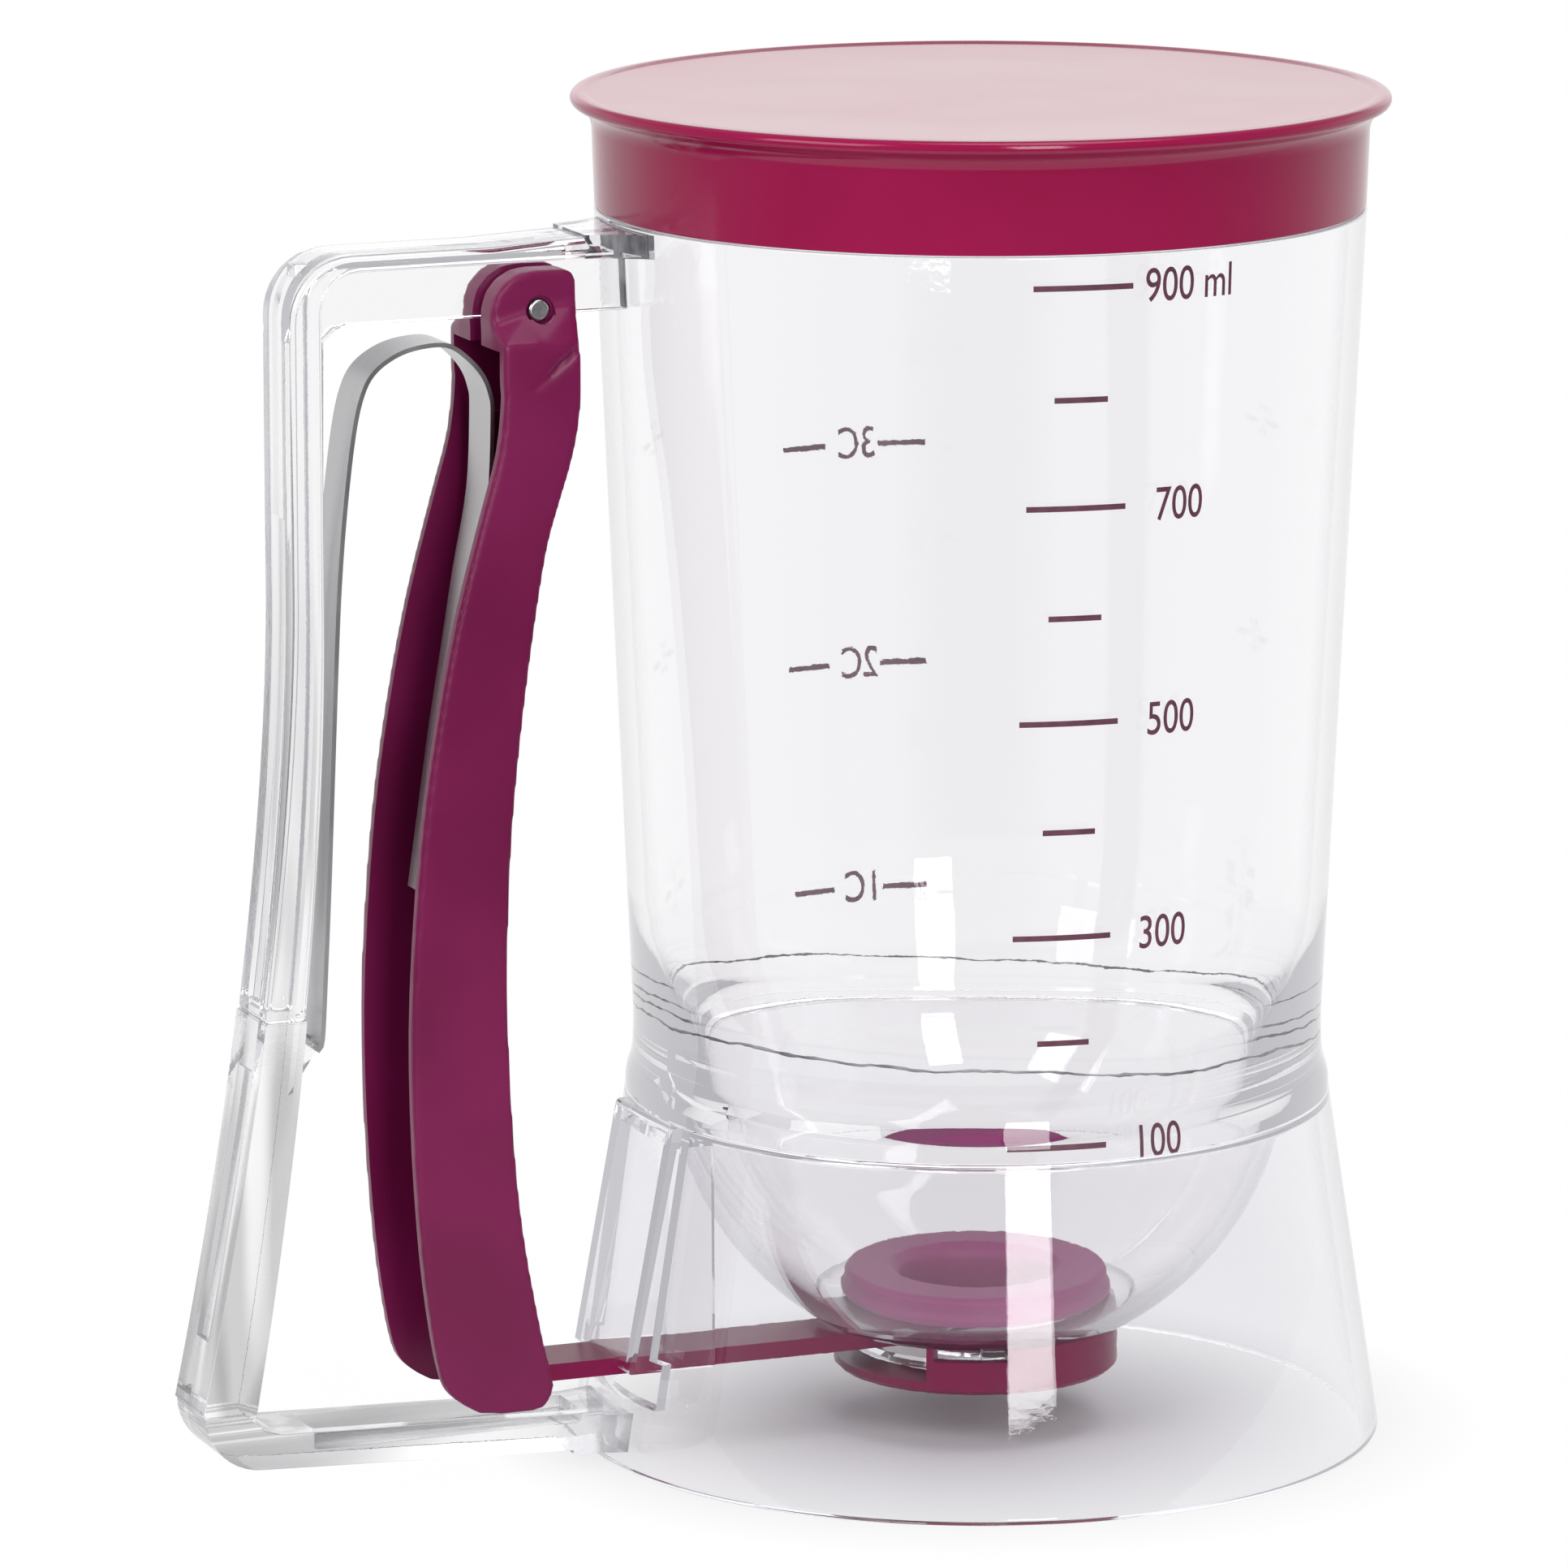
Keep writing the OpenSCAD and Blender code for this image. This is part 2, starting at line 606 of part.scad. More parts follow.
module lever() {
    color([0.50, 0.09, 0.31])
        difference() {
            union() {
                difference() {
                    union() {
                        slab(lever_w)
                            intersection() {
                                lever_profile();
                                translate([pivot_x - lever_span, lever_foot - 1])
                                    square([2 * lever_span, shoulder_top - 6 - lever_foot]);
                            }
                        lever_shoulder();
                    }
                    slab(2 * inner_half) lever_hollow();
                    // throat between the ears for the web and the spring
                    translate([pivot_x - 8, -strip_w / 2 - 0.6, shoulder_top - 8])
                        cube([10.4, strip_w + 1.2, 12]);
                }
                slab(2 * ear_out) ear_profile();
                // rib under the spring's leg
                slab(2)
                    polygon(concat(
                        [for (p = rib_line) p + [strip_t / 2 + 0.15, 0]],
                        [for (i = [len(rib_line) - 1 : -1 : 0])
                            [lever_web_x(rib_line[i][1]) + lever_web / 2, rib_line[i][1]]]
                    ));
                // catches that keep the rod's cross head against the web
                for (side = [-1, 1])
                    translate([head_x - head_len - 0.4 - 2, side * (inner_half - 0.7) - 1.2,
                               lever_foot + 0.4])
                        cube([2, 2.4, 9]);
            }
            // gap between the ears, and the pin's holes
            translate([pivot_x - 20, -ear_in, pivot_z - 5.6]) cube([40, 2 * ear_in, 20]);
            translate([pivot_x - 10, -strip_w / 2 - 0.6, pivot_z - 13])
                cube([8.6, strip_w + 1.2, 9.4]);
            translate([pivot_x, 0, pivot_z])
                rotate([90, 0, 0]) cylinder(r = pin_r, h = lever_w, center = true);
            // notch for the rod
            translate([pivot_x - 10, -slot_half, lever_foot - 2])
                cube([20, 2 * slot_half, rod_z + gate_t / 2 + 1.4 - lever_foot + 2]);
        }
}

// ---- Pivot pin ----
module pivot_pin() {
    color([0.72, 0.73, 0.75])
        translate([pivot_x, 0, pivot_z])
            rotate([90, 0, 0])
                rotate_extrude()
                    polygon([
                        [0, -ear_out - 0.3], [pin_r - 0.3, -ear_out - 0.3], [pin_r, -ear_out],
                        [pin_r, ear_out], [pin_r - 0.3, ear_out + 0.3], [0, ear_out + 0.3]
                    ]);
}

// ---- Leaf spring: a strip bent like a hairpin between the grip and the lever ----
leg_top = pivot_z - 15.4;
leg_foot = grip_seam - 3;
function leg_z(s) = leg_foot + (leg_top - leg_foot) * s;
// the leg touches the rib near its middle and stands off it towards both ends
function leg_x(s) = grip_in(leg_z(s)) + rib_h + strip_t / 2 + 0.1
    + 1.1 * pow(max(0, 0.45 - s) / 0.45, 1.5) + 2.7 * pow(max(0, s - 0.5) / 0.5, 2.2);
left_leg = [for (s = [0 : 0.125 : 1]) [leg_x(s), leg_z(s)]];
// the bend, as [share of the way from the grip's leg to the lever's leg, drop below the pivot]
bend = [[0.067, 9.9], [0.159, 6.9], [0.323, 4.8], [0.508, 3.9], [0.682, 4.0], [0.815, 5.7],
        [0.928, 8.2], [0.985, 10.9]];
arch = [for (p = bend) [leg_x(1) + (pivot_x - 5.4 - leg_x(1)) * p[0], pivot_z - p[1]]];
spring_line = smooth(concat(left_leg, arch, [for (p = rib_points) lever_point(p)]), 4);
function unit(v) = v / norm(v);
function side_of(p, i) =
    let (a = p[max(i - 1, 0)], b = p[min(i + 1, len(p) - 1)], d = unit(b - a)) [-d[1], d[0]];

module leaf_spring() {
    n = len(spring_line) - 1;
    color([0.70, 0.70, 0.71])
        slab(strip_w)
            polygon(concat(
                [for (i = [0 : n]) spring_line[i] + side_of(spring_line, i) * strip_t / 2],
                [for (i = [n : -1 : 0]) spring_line[i] - side_of(spring_line, i) * strip_t / 2]
            ));
}

lid();
cup();
bowl();
upper_handle();
lower_handle();
base();
lever();
pivot_pin();
leaf_spring();
valve_slide();
seal();
outlet_ring();
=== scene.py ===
# %% [markdown]
# A batter dispenser: a clear cup stands on a clear flared base, and a sprung lever in the
# handle pulls a slide valve open below the cup's round bottom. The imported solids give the
# frame, so every piece here is modelled in the same place and size, with finer edges.

# %% Frame
import math
import bpy
import bmesh
from mathutils import Matrix, Vector, noise


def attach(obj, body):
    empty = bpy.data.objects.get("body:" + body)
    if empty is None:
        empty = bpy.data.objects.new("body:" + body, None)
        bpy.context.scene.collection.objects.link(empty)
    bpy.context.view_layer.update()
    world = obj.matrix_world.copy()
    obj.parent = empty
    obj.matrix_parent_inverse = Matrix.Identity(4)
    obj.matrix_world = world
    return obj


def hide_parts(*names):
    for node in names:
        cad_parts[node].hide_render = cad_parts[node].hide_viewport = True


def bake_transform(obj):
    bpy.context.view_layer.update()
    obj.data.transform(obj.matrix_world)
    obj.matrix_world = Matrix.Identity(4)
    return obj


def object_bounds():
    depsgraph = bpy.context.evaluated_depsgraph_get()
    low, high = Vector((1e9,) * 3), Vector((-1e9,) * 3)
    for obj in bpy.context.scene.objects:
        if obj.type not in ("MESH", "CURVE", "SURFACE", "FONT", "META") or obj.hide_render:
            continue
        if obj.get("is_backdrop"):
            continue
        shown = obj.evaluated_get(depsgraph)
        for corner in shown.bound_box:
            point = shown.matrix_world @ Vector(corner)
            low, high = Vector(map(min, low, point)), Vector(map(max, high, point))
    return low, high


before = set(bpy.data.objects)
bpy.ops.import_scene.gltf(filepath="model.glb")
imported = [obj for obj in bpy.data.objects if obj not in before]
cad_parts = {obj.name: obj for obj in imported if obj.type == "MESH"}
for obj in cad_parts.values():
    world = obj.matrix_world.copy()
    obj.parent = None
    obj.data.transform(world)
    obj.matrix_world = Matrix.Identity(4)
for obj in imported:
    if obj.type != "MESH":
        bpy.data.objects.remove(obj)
cad_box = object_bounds()
mm = 0.001
scene = bpy.context.scene


def put_in_scene(name, data):
    """A new object in the scene for a lens, lamp, text or mesh."""
    obj = bpy.data.objects.new(name, data)
    scene.collection.objects.link(obj)
    return obj


def as_object(bm, name):
    """Turns a working mesh into an object."""
    mesh = bpy.data.meshes.new(name)
    bm.to_mesh(mesh)
    bm.free()
    return put_in_scene(name, mesh)


# %% [markdown]
# The camera is a long lens about 1.3 m away, a little above the rim and turned towards the
# handle's side. A long lens keeps the cup's walls almost parallel, as in a catalogue picture.

# %% Camera
lens = bpy.data.cameras.new("camera")
lens.sensor_width = 36.0
lens.lens = 217.8
camera = put_in_scene("camera", lens)
camera.location = Vector((-493.1, -1150.9, 339.4)) * mm
aim = Vector((-24.17, 9.77, 88.11)) * mm
camera.rotation_euler = (aim - camera.location).to_track_quat("-Z", "Y").to_euler()
scene.camera = camera
print("camera distance", round((aim - camera.location).length, 3))

# %% [markdown]
# Four helpers build the world and every finish: one empties a node tree, one adds a node with
# its settings, one links nodes, and one makes a colour ramp.

# %% Node helpers
def nodes_of(owner, kind="Material"):
    """Empties the node tree of a material or world and gives (nodes, links, output)."""
    owner.use_nodes = True
    nodes, links = owner.node_tree.nodes, owner.node_tree.links
    nodes.clear()
    return nodes, links, nodes.new("ShaderNodeOutput" + kind)


def add(nodes, kind, values=None, **traits):
    """Adds a shader node, sets its traits, such as its operation, then its inputs' values."""
    node = nodes.new("ShaderNode" + kind)
    for trait, value in traits.items():
        setattr(node, trait, value)
    for socket, value in (values or {}).items():
        node.inputs[socket].default_value = value
    return node


def wire(links, *joins):
    """Links nodes. Each join is (source, name of its output, target, name of its input)."""
    for source, way_out, target, way_in in joins:
        links.new(source.outputs[way_out], target.inputs[way_in])


def add_ramp(nodes, stops, blend="LINEAR"):
    """Adds a colour ramp that runs through (position, colour) stops."""
    node = add(nodes, "ValToRGB")
    node.color_ramp.interpolation = blend
    elements = node.color_ramp.elements
    for spot, _ in stops[2:]:
        elements.new(spot)
    for element, (spot, colour) in zip(elements, stops):
        element.position = spot
        element.color = colour
    return node


print("node helpers: nodes_of, add, wire, add_ramp")

# %% [markdown]
# Clear plastic shows only what it bends and mirrors, so the studio matters as much as the
# material. The world is an even, plain light for matt surfaces. Bent rays see a bright room.
# Mirror rays see a bright wall behind the object and a dim room round the camera, which keeps
# the dyed pieces deep in colour. A ray's bearing becomes a number by its cosine to a
# direction, and a ramp makes light of it.

# %% World
world = bpy.data.worlds.new("studio")
scene.world = world
wn, wl, out = nodes_of(world, "World")
place = add(wn, "TexCoord")
rays = add(wn, "LightPath")


def bearing_ramp(direction, stops):
    """Grey by bearing: a stop at 0 is opposite to the direction, 0.5 across, 1 along it."""
    dot = add(wn, "VectorMath", {1: direction}, operation="DOT_PRODUCT")
    half = add(wn, "Math", {1: 0.5, 2: 0.5}, operation="MULTIPLY_ADD")
    ramp = add_ramp(wn, [(spot, (grey, grey, min(1.0, grey * 1.03), 1)) for spot, grey in stops])
    wire(wl, (place, "Generated", dot, 0), (dot, "Value", half, 0), (half, 0, ramp, 0))
    return ramp.outputs["Color"]


def room(over_height, towards_back):
    """A room whose light changes with height and towards the wall behind the object."""
    both = add(wn, "Mix", {"Factor": 1.0}, data_type="RGBA", blend_type="MULTIPLY")
    wl.new(bearing_ramp((0, 0, 1), over_height), both.inputs["A"])
    wl.new(bearing_ramp((0.37, 0.93, 0.0), towards_back), both.inputs["B"])
    light = add(wn, "Background", {"Strength": 1.0})
    wire(wl, (both, "Result", light, "Color"))
    return light


even = add(wn, "Background", {"Color": (0.97, 0.975, 1.0, 1), "Strength": 0.46})
mirrored = room(((0.62, 1.0), (0.72, 0.42), (0.95, 0.34)),
                ((0.22, 0.12), (0.50, 0.38), (0.80, 1.0)))
bent = room(((0.60, 1.0), (0.92, 0.80)),
            ((0.012, 0.34), (0.06, 0.74), (0.45, 0.93), (0.72, 1.0)))
behind = add(wn, "Background", {"Color": (1, 1, 1, 1), "Strength": 1.0})
step = even
for kind, seen in (("Is Glossy Ray", mirrored), ("Is Transmission Ray", bent),
                   ("Is Camera Ray", behind)):
    choice = add(wn, "MixShader")
    wire(wl, (rays, kind, choice, 0), (step, 0, choice, 1), (seen, 0, choice, 2))
    step = choice
wire(wl, (step, 0, out, "Surface"))
print("world nodes", len(wn))

# %% [markdown]
# Four lamps shape the object. A tall strip to the right of the camera draws the bright upright
# band on the base, a broad soft box on the left lifts the handle, one above fills in, and a
# low wide one behind lays a pale sheen on the lid's top.

# %% Lamps
def soft_box(name, azimuth, elevation, distance, width, tall, power):
    """A rectangular lamp that faces the object: degrees, metres and watts."""
    lamp = bpy.data.lights.new(name, "AREA")
    lamp.shape = "RECTANGLE"
    lamp.size, lamp.size_y = width, tall
    lamp.energy = power
    box = put_in_scene(name, lamp)
    a, e = math.radians(azimuth), math.radians(elevation)
    middle = Vector((-0.02, 0, 0.09))
    bearing = Vector((math.cos(a) * math.cos(e), math.sin(a) * math.cos(e), math.sin(e)))
    box.location = middle + distance * bearing
    box.rotation_euler = (middle - box.location).to_track_quat("-Z", "Y").to_euler()
    print(name, "at", tuple(round(v, 2) for v in box.location))


soft_box("strip_lamp", -96.2, 18.75, 1.5, 0.38, 1.06, 11)
soft_box("broad_lamp", -160, 26, 1.6, 0.9, 0.9, 10)
soft_box("top_lamp", -60, 76, 1.6, 1.0, 1.0, 9)
soft_box("back_lamp", 67, 15, 1.7, 1.7, 0.62, 0.9)

# %% [markdown]
# The table is one pale disc. Its own colour stays plain, and a little glow that the camera,
# clear things and shiny ones see lifts it to the white of the room, so only the shadow shows.
# The glow fades towards the middle, which paints a darker shadow under the object.

# %% Table
shadow_reach = 0.08
table_radius = 0.26
# Glow by distance from the middle: the low stops paint a darker shadow under the object.
glow_and_painted_shadow = ((0.0, 0.0), (0.22, 0.05), (0.42, 0.34), (0.70, 0.74), (0.86, 0.99))


def any_ray(nodes, links, rays, *kinds):
    """1 for a ray of any of these kinds, and otherwise 0."""
    found = rays.outputs[kinds[0]]
    for kind in kinds[1:]:
        either = add(nodes, "Math", operation="MAXIMUM")
        links.new(found, either.inputs[0])
        wire(links, (rays, kind, either, 1))
        found = either.outputs[0]
    return found


table_finish = bpy.data.materials.new("table_white")
n, l, out = nodes_of(table_finish)
matt = add(n, "BsdfDiffuse", {"Color": (0.80, 0.80, 0.81, 1)})
glow = add(n, "Emission", {"Strength": 1.0})
where = add(n, "TexCoord")
away = add(n, "VectorMath", operation="LENGTH")
reach = add(n, "Math", {1: shadow_reach}, operation="DIVIDE")
fade = add_ramp(n, [(spot, (grey, grey, grey, 1)) for spot, grey in glow_and_painted_shadow])
share = add(n, "Math", operation="MULTIPLY")
mix = add(n, "MixShader")
wire(l, (where, "Object", away, 0), (away, "Value", reach, 0), (reach, 0, fade, 0),
     (fade, "Color", share, 0))
l.new(any_ray(n, l, add(n, "LightPath"), "Is Camera Ray", "Is Transmission Ray",
              "Is Glossy Ray"), share.inputs[1])
wire(l, (share, 0, mix, 0), (matt, 0, mix, 1), (glow, 0, mix, 2), (mix, 0, out, "Surface"))

bm = bmesh.new()
bmesh.ops.create_circle(bm, cap_ends=True, segments=96, radius=table_radius)
table = as_object(bm, "table")
table.data.materials.append(table_finish)
table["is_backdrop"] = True
print("table radius", table_radius)

# %% [markdown]
# Moulded plastic is never perfectly even: its gloss varies a little and its skin has a slow
# ripple. Both come from one node group with two noises, used by every plastic here.

# %% Shared skin
def make_skin_group():
    """Node group: roughness and height of a moulded skin, on Object coordinates."""
    group = bpy.data.node_groups.new("moulded_skin", "ShaderNodeTree")
    face = group.interface
    for name, low, high, value in (("Grain Scale", 1, 5000, 400), ("Ripple Scale", 1, 500, 40),
                                   ("Gloss Low", 0, 1, 0.05), ("Gloss High", 0, 1, 0.12)):
        s = face.new_socket(name=name, in_out="INPUT", socket_type="NodeSocketFloat")
        s.min_value, s.max_value, s.default_value = low, high, value
    for name in ("Roughness", "Height", "Patch"):
        face.new_socket(name=name, in_out="OUTPUT", socket_type="NodeSocketFloat")
    g, k = group.nodes, group.links
    gin, gout = g.new("NodeGroupInput"), g.new("NodeGroupOutput")
    coord = add(g, "TexCoord")
    grain = add(g, "TexNoise", {"Detail": 3.0})
    ripple = add(g, "TexNoise", {"Detail": 1.5})
    gloss = add(g, "MapRange", {"From Min": 0.1, "From Max": 0.9},
                interpolation_type="SMOOTHSTEP")
    both = add(g, "Math", {1: 0.12}, operation="MULTIPLY_ADD")
    for noise_map, name in ((grain, "Grain Scale"), (ripple, "Ripple Scale")):
        wire(k, (coord, "Object", noise_map, "Vector"), (gin, name, noise_map, "Scale"))
    wire(k, (ripple, "Fac", gloss, "Value"), (gin, "Gloss Low", gloss, "To Min"),
         (gin, "Gloss High", gloss, "To Max"), (grain, "Fac", both, 0),
         (ripple, "Fac", both, 2), (gloss, "Result", gout, "Roughness"),
         (both, 0, gout, "Height"), (ripple, "Fac", gout, "Patch"))
    return group


skin_group = make_skin_group()


def put_skin(n, l, bsdf, scales, gloss, bump, depth):
    """Puts the shared skin on a shader: scales are (grain, ripple), gloss is (low, high)."""
    skin = add(n, "Group", {"Grain Scale": scales[0], "Ripple Scale": scales[1],
                            "Gloss Low": gloss[0], "Gloss High": gloss[1]},
               node_tree=skin_group)
    uneven = add(n, "Bump", {"Strength": bump, "Distance": depth})
    wire(l, (skin, "Roughness", bsdf, "Roughness"), (skin, "Height", uneven, "Height"),
         (uneven, "Normal", bsdf, "Normal"))
    return skin


print("shared group:", skin_group.name)

# %% [markdown]
# Long grey streaks painted on the lower part of the handle stand in for the dark reflections it
# shows. They are one noise stretched along the grip, and along the arm below it. The same masks
# paint an even shade on the base's skirt.

# %% Painted streaks and shade
def painted_streaks(n, l, coord, height, greys, spots):
    """Painted streaks of shade between two greys, up the grip and level along the lower arm."""
    upright = add(n, "Mapping", {"Scale": (130, 190, 19)})
    level = add(n, "Mapping", {"Scale": (19, 190, 60)})
    above_arm = add(n, "MapRange", {"From Min": 0.009, "From Max": 0.0125})
    along = add(n, "Mix", data_type="VECTOR")
    streak_noise = add(n, "TexNoise", {"Scale": 1.0, "Detail": 1.0})
    shade = add_ramp(n, [(spot, (grey, grey, min(1.0, grey * 1.01), 1))
                         for spot, grey in zip(spots, greys)], "EASE")
    wire(l, (height, "Z", above_arm, "Value"))
    for node, socket in ((level, "A"), (upright, "B")):
        wire(l, (coord, "Object", node, "Vector"), (node, "Vector", along, socket))
    wire(l, (above_arm, "Result", along, "Factor"), (along, "Result", streak_noise, "Vector"),
         (streak_noise, "Fac", shade, 0))
    return shade.outputs["Color"]


def streak_mask(n, l, coord, height, outward, upward, none_at, full_at):
    """Goes from 0 to 1 as outward * radius + upward * height passes two lengths in metres."""
    flat = add(n, "VectorMath", {1: (outward, outward, 0)}, operation="MULTIPLY")
    radius = add(n, "VectorMath", operation="LENGTH")
    both = add(n, "Math", {1: upward}, operation="MULTIPLY_ADD")
    come = add(n, "MapRange", {"From Min": none_at, "From Max": full_at})
    wire(l, (coord, "Object", flat, 0), (flat, "Vector", radius, 0), (height, "Z", both, 0),
         (radius, "Value", both, 2), (both, 0, come, "Value"))
    return come.outputs["Result"]


print("streak helpers: painted_streaks, streak_mask")

# %% [markdown]
# Clear plastic bends light at every wall. Its edges look grey partly because a line of sight
# runs far through the wall there, and partly from painted shade: the tint deepens where the
# surface turns away. Shadow and bounce rays pass straight through, which keeps the table's
# shadow light, and rays mirrored three or more times see a painted soft grey glow.

# %% Clear plastic
def clear_plastic(name, face_tint, edge_tint_and_painted_shade, edge_start, pass_tint, ripple, streak, spots,
                  mask):
    """Clear moulded plastic with edges greyed partly by painted shade, a slow ripple and painted
    streaks.

    streak is the grey of the streaks, spots are the noise values at which they start and end,
    and mask holds the last four values of streak_mask."""
    m = bpy.data.materials.new(name)
    n, l, out = nodes_of(m)
    bsdf = add(n, "BsdfPrincipled", {"IOR": 1.49, "Transmission Weight": 1.0})
    put_skin(n, l, bsdf, (900, 55), (0.0, 0.02), ripple, 0.001)
    facing = add(n, "LayerWeight", {"Blend": 0.5})
    # Greyer where the surface turns away: partly the longer path through the wall, partly
    # painted shade.
    tint_and_painted_shade = add_ramp(n, [(edge_start, face_tint), (1.0, edge_tint_and_painted_shade)])
    coord = add(n, "TexCoord")
    height = add(n, "SeparateXYZ")
    grey = add(n, "Mix", data_type="RGBA", blend_type="MULTIPLY")
    wire(l, (facing, "Facing", tint_and_painted_shade, 0), (coord, "Object", height, 0))
    l.new(streak_mask(n, l, coord, height, *mask), grey.inputs["Factor"])
    wire(l, (tint_and_painted_shade, "Color", grey, "A"))
    l.new(painted_streaks(n, l, coord, height, (1.0, streak), spots), grey.inputs["B"])
    wire(l, (grey, "Result", bsdf, "Base Color"))
    through = add(n, "BsdfTransparent", {"Color": pass_tint})
    rays = add(n, "LightPath")
    mix = add(n, "MixShader")
    l.new(any_ray(n, l, rays, "Is Shadow Ray", "Is Diffuse Ray"), mix.inputs[0])
    wire(l, (bsdf, 0, mix, 1), (through, 0, mix, 2))
    # Rays mirrored three or more times see a painted grey glow in place of the surface.
    mirrored_often = add(n, "Math", {1: 2.5}, operation="GREATER_THAN")
    painted_grey_glow = add(n, "Emission", {"Color": (0.50, 0.50, 0.53, 1)})
    end = add(n, "MixShader")
    wire(l, (rays, "Glossy Depth", mirrored_often, 0), (mirrored_often, 0, end, 0), (mix, 0, end, 1),
         (painted_grey_glow, 0, end, 2), (end, 0, out, "Surface"))
    m.cycles.emission_sampling = "NONE"
    return m


# On the body the mask finds the base's skirt, which it greys with painted shade, and on the
# handle its lower part, where the streaks paint dark reflections.
clear = clear_plastic("clear_plastic", (0.972, 0.967, 0.975, 1), (0.66, 0.65, 0.68, 1), 0.72,
                      (0.93, 0.925, 0.935, 1), ripple=0.02, streak=0.955, spots=(0.0, 0.02),
                      mask=(1, -0.5, 0.022, 0.025))
clear_handle = clear_plastic("clear_handle_plastic", (0.962, 0.960, 0.968, 1),
                             (0.56, 0.56, 0.60, 1), 0.55, (0.94, 0.94, 0.945, 1), ripple=0.14,
                             streak=0.42, spots=(0.41, 0.58), mask=(0, 1, 0.140, 0.070))
print("clear finishes:", clear.name, clear_handle.name)

# %% [markdown]
# The coloured pieces are raspberry plastic. The lid is glossy, the valve and the lever satin,
# and the silicone seal is soft and paler. The colour drifts slightly from patch to patch, as
# pigment does in a moulding.

# %% Raspberry plastic
def dyed_plastic(name, deep, bright, gloss, bump, grain, shine, scatter=0.0):
    """Opaque dyed plastic whose colour and gloss drift slowly."""
    m = bpy.data.materials.new(name)
    n, l, out = nodes_of(m)
    bsdf = add(n, "BsdfPrincipled", {
        "IOR": 1.5, "Specular IOR Level": shine, "Subsurface Weight": scatter,
        "Subsurface Radius": (1.0, 0.25, 0.45), "Subsurface Scale": 0.002})
    skin = put_skin(n, l, bsdf, (grain, 45), gloss, bump, 0.0004)
    colour = add_ramp(n, [(0.2, deep), (0.8, bright)], "EASE")
    wire(l, (skin, "Patch", colour, 0), (colour, "Color", bsdf, "Base Color"),
         (bsdf, 0, out, "Surface"))
    print("finish:", name)
    return m


lid_plastic = dyed_plastic("lid_raspberry", (0.270, 0.006, 0.054, 1), (0.298, 0.008, 0.062, 1),
                           (0.10, 0.16), 0.05, 900, shine=0.36, scatter=0.1)
lever_plastic = dyed_plastic("lever_raspberry", (0.132, 0.005, 0.047, 1),
                             (0.178, 0.007, 0.068, 1), (0.26, 0.36), 0.12, 2500, shine=0.24)
valve_plastic = dyed_plastic("valve_raspberry", (0.165, 0.004, 0.046, 1),
                             (0.200, 0.005, 0.056, 1), (0.20, 0.28), 0.06, 900, shine=0.15)
silicone = dyed_plastic("seal_silicone", (0.285, 0.026, 0.150, 1), (0.345, 0.036, 0.185, 1),
                        (0.38, 0.50), 0.10, 1500, shine=0.25, scatter=0.2)

# %% [markdown]
# The spring is rolled steel strip: bright, with fine lines along its length. The pin is the
# same metal, with a cropped end and no lines.

# %% Steel
def strip_steel(name, base, gloss_low, gloss_high, stretch):
    """Bright steel with fine drawn lines: a noise stretched across them."""
    m = bpy.data.materials.new(name)
    n, l, out = nodes_of(m)
    bsdf = add(n, "BsdfPrincipled", {"Metallic": 1.0})
    coord = add(n, "TexCoord")
    stretched = add(n, "Mapping", {"Scale": stretch})
    lines = add(n, "TexNoise", {"Scale": 1.0, "Detail": 4.0})
    gloss = add(n, "MapRange", {"To Min": gloss_low, "To Max": gloss_high})
    shade = add_ramp(n, [(0.0, tuple(c * 0.8 for c in base[:3]) + (1,)), (1.0, base)])
    bump = add(n, "Bump", {"Strength": 0.15, "Distance": 0.0001})
    wire(l, (coord, "Object", stretched, "Vector"), (stretched, "Vector", lines, "Vector"))
    for node, socket in ((gloss, "Value"), (shade, 0), (bump, "Height")):
        wire(l, (lines, "Fac", node, socket))
    wire(l, (gloss, "Result", bsdf, "Roughness"), (shade, "Color", bsdf, "Base Color"),
         (bump, "Normal", bsdf, "Normal"), (bsdf, 0, out, "Surface"))
    print("finish:", name)
    return m


spring_steel = strip_steel("spring_steel", (0.52, 0.51, 0.52, 1), 0.22, 0.42, (300, 2500, 90))
pin_steel = strip_steel("pin_steel", (0.72, 0.71, 0.72, 1), 0.2, 0.35, (900, 900, 900))

# %% [markdown]
# Ink and glue share one recipe. The ink's density varies a little, as in pad printing, and
# the glue is an uneven bead that shows grey in the clear wall. The same grey also paints a dark
# reflection behind the handle's arm.

# %% Ink and glue
def film(name, colour_low, colour_high, scale, rough):
    """A thin layer whose colour varies in small patches."""
    m = bpy.data.materials.new(name)
    n, l, out = nodes_of(m)
    bsdf = add(n, "BsdfPrincipled", {"Roughness": rough})
    coord = add(n, "TexCoord")
    patches = add(n, "TexNoise", {"Scale": scale, "Detail": 3.0})
    colour = add_ramp(n, [(0.35, colour_low), (0.65, colour_high)])
    wire(l, (coord, "Object", patches, "Vector"), (patches, "Fac", colour, 0),
         (colour, "Color", bsdf, "Base Color"), (bsdf, 0, out, "Surface"))
    print("finish:", name)
    return m


ink = film("scale_ink", (0.092, 0.022, 0.044, 1), (0.122, 0.036, 0.062, 1), 700, 0.45)
# The bead's grey also paints a dark reflection behind the handle's arm.
glue_and_painted_reflection = film("bond_grey_and_painted_reflection", (0.07, 0.07, 0.08, 1), (0.30, 0.30, 0.32, 1), 260, 0.4)

# %% [markdown]
# The main sizes, in millimetres, under the names that the solids use.

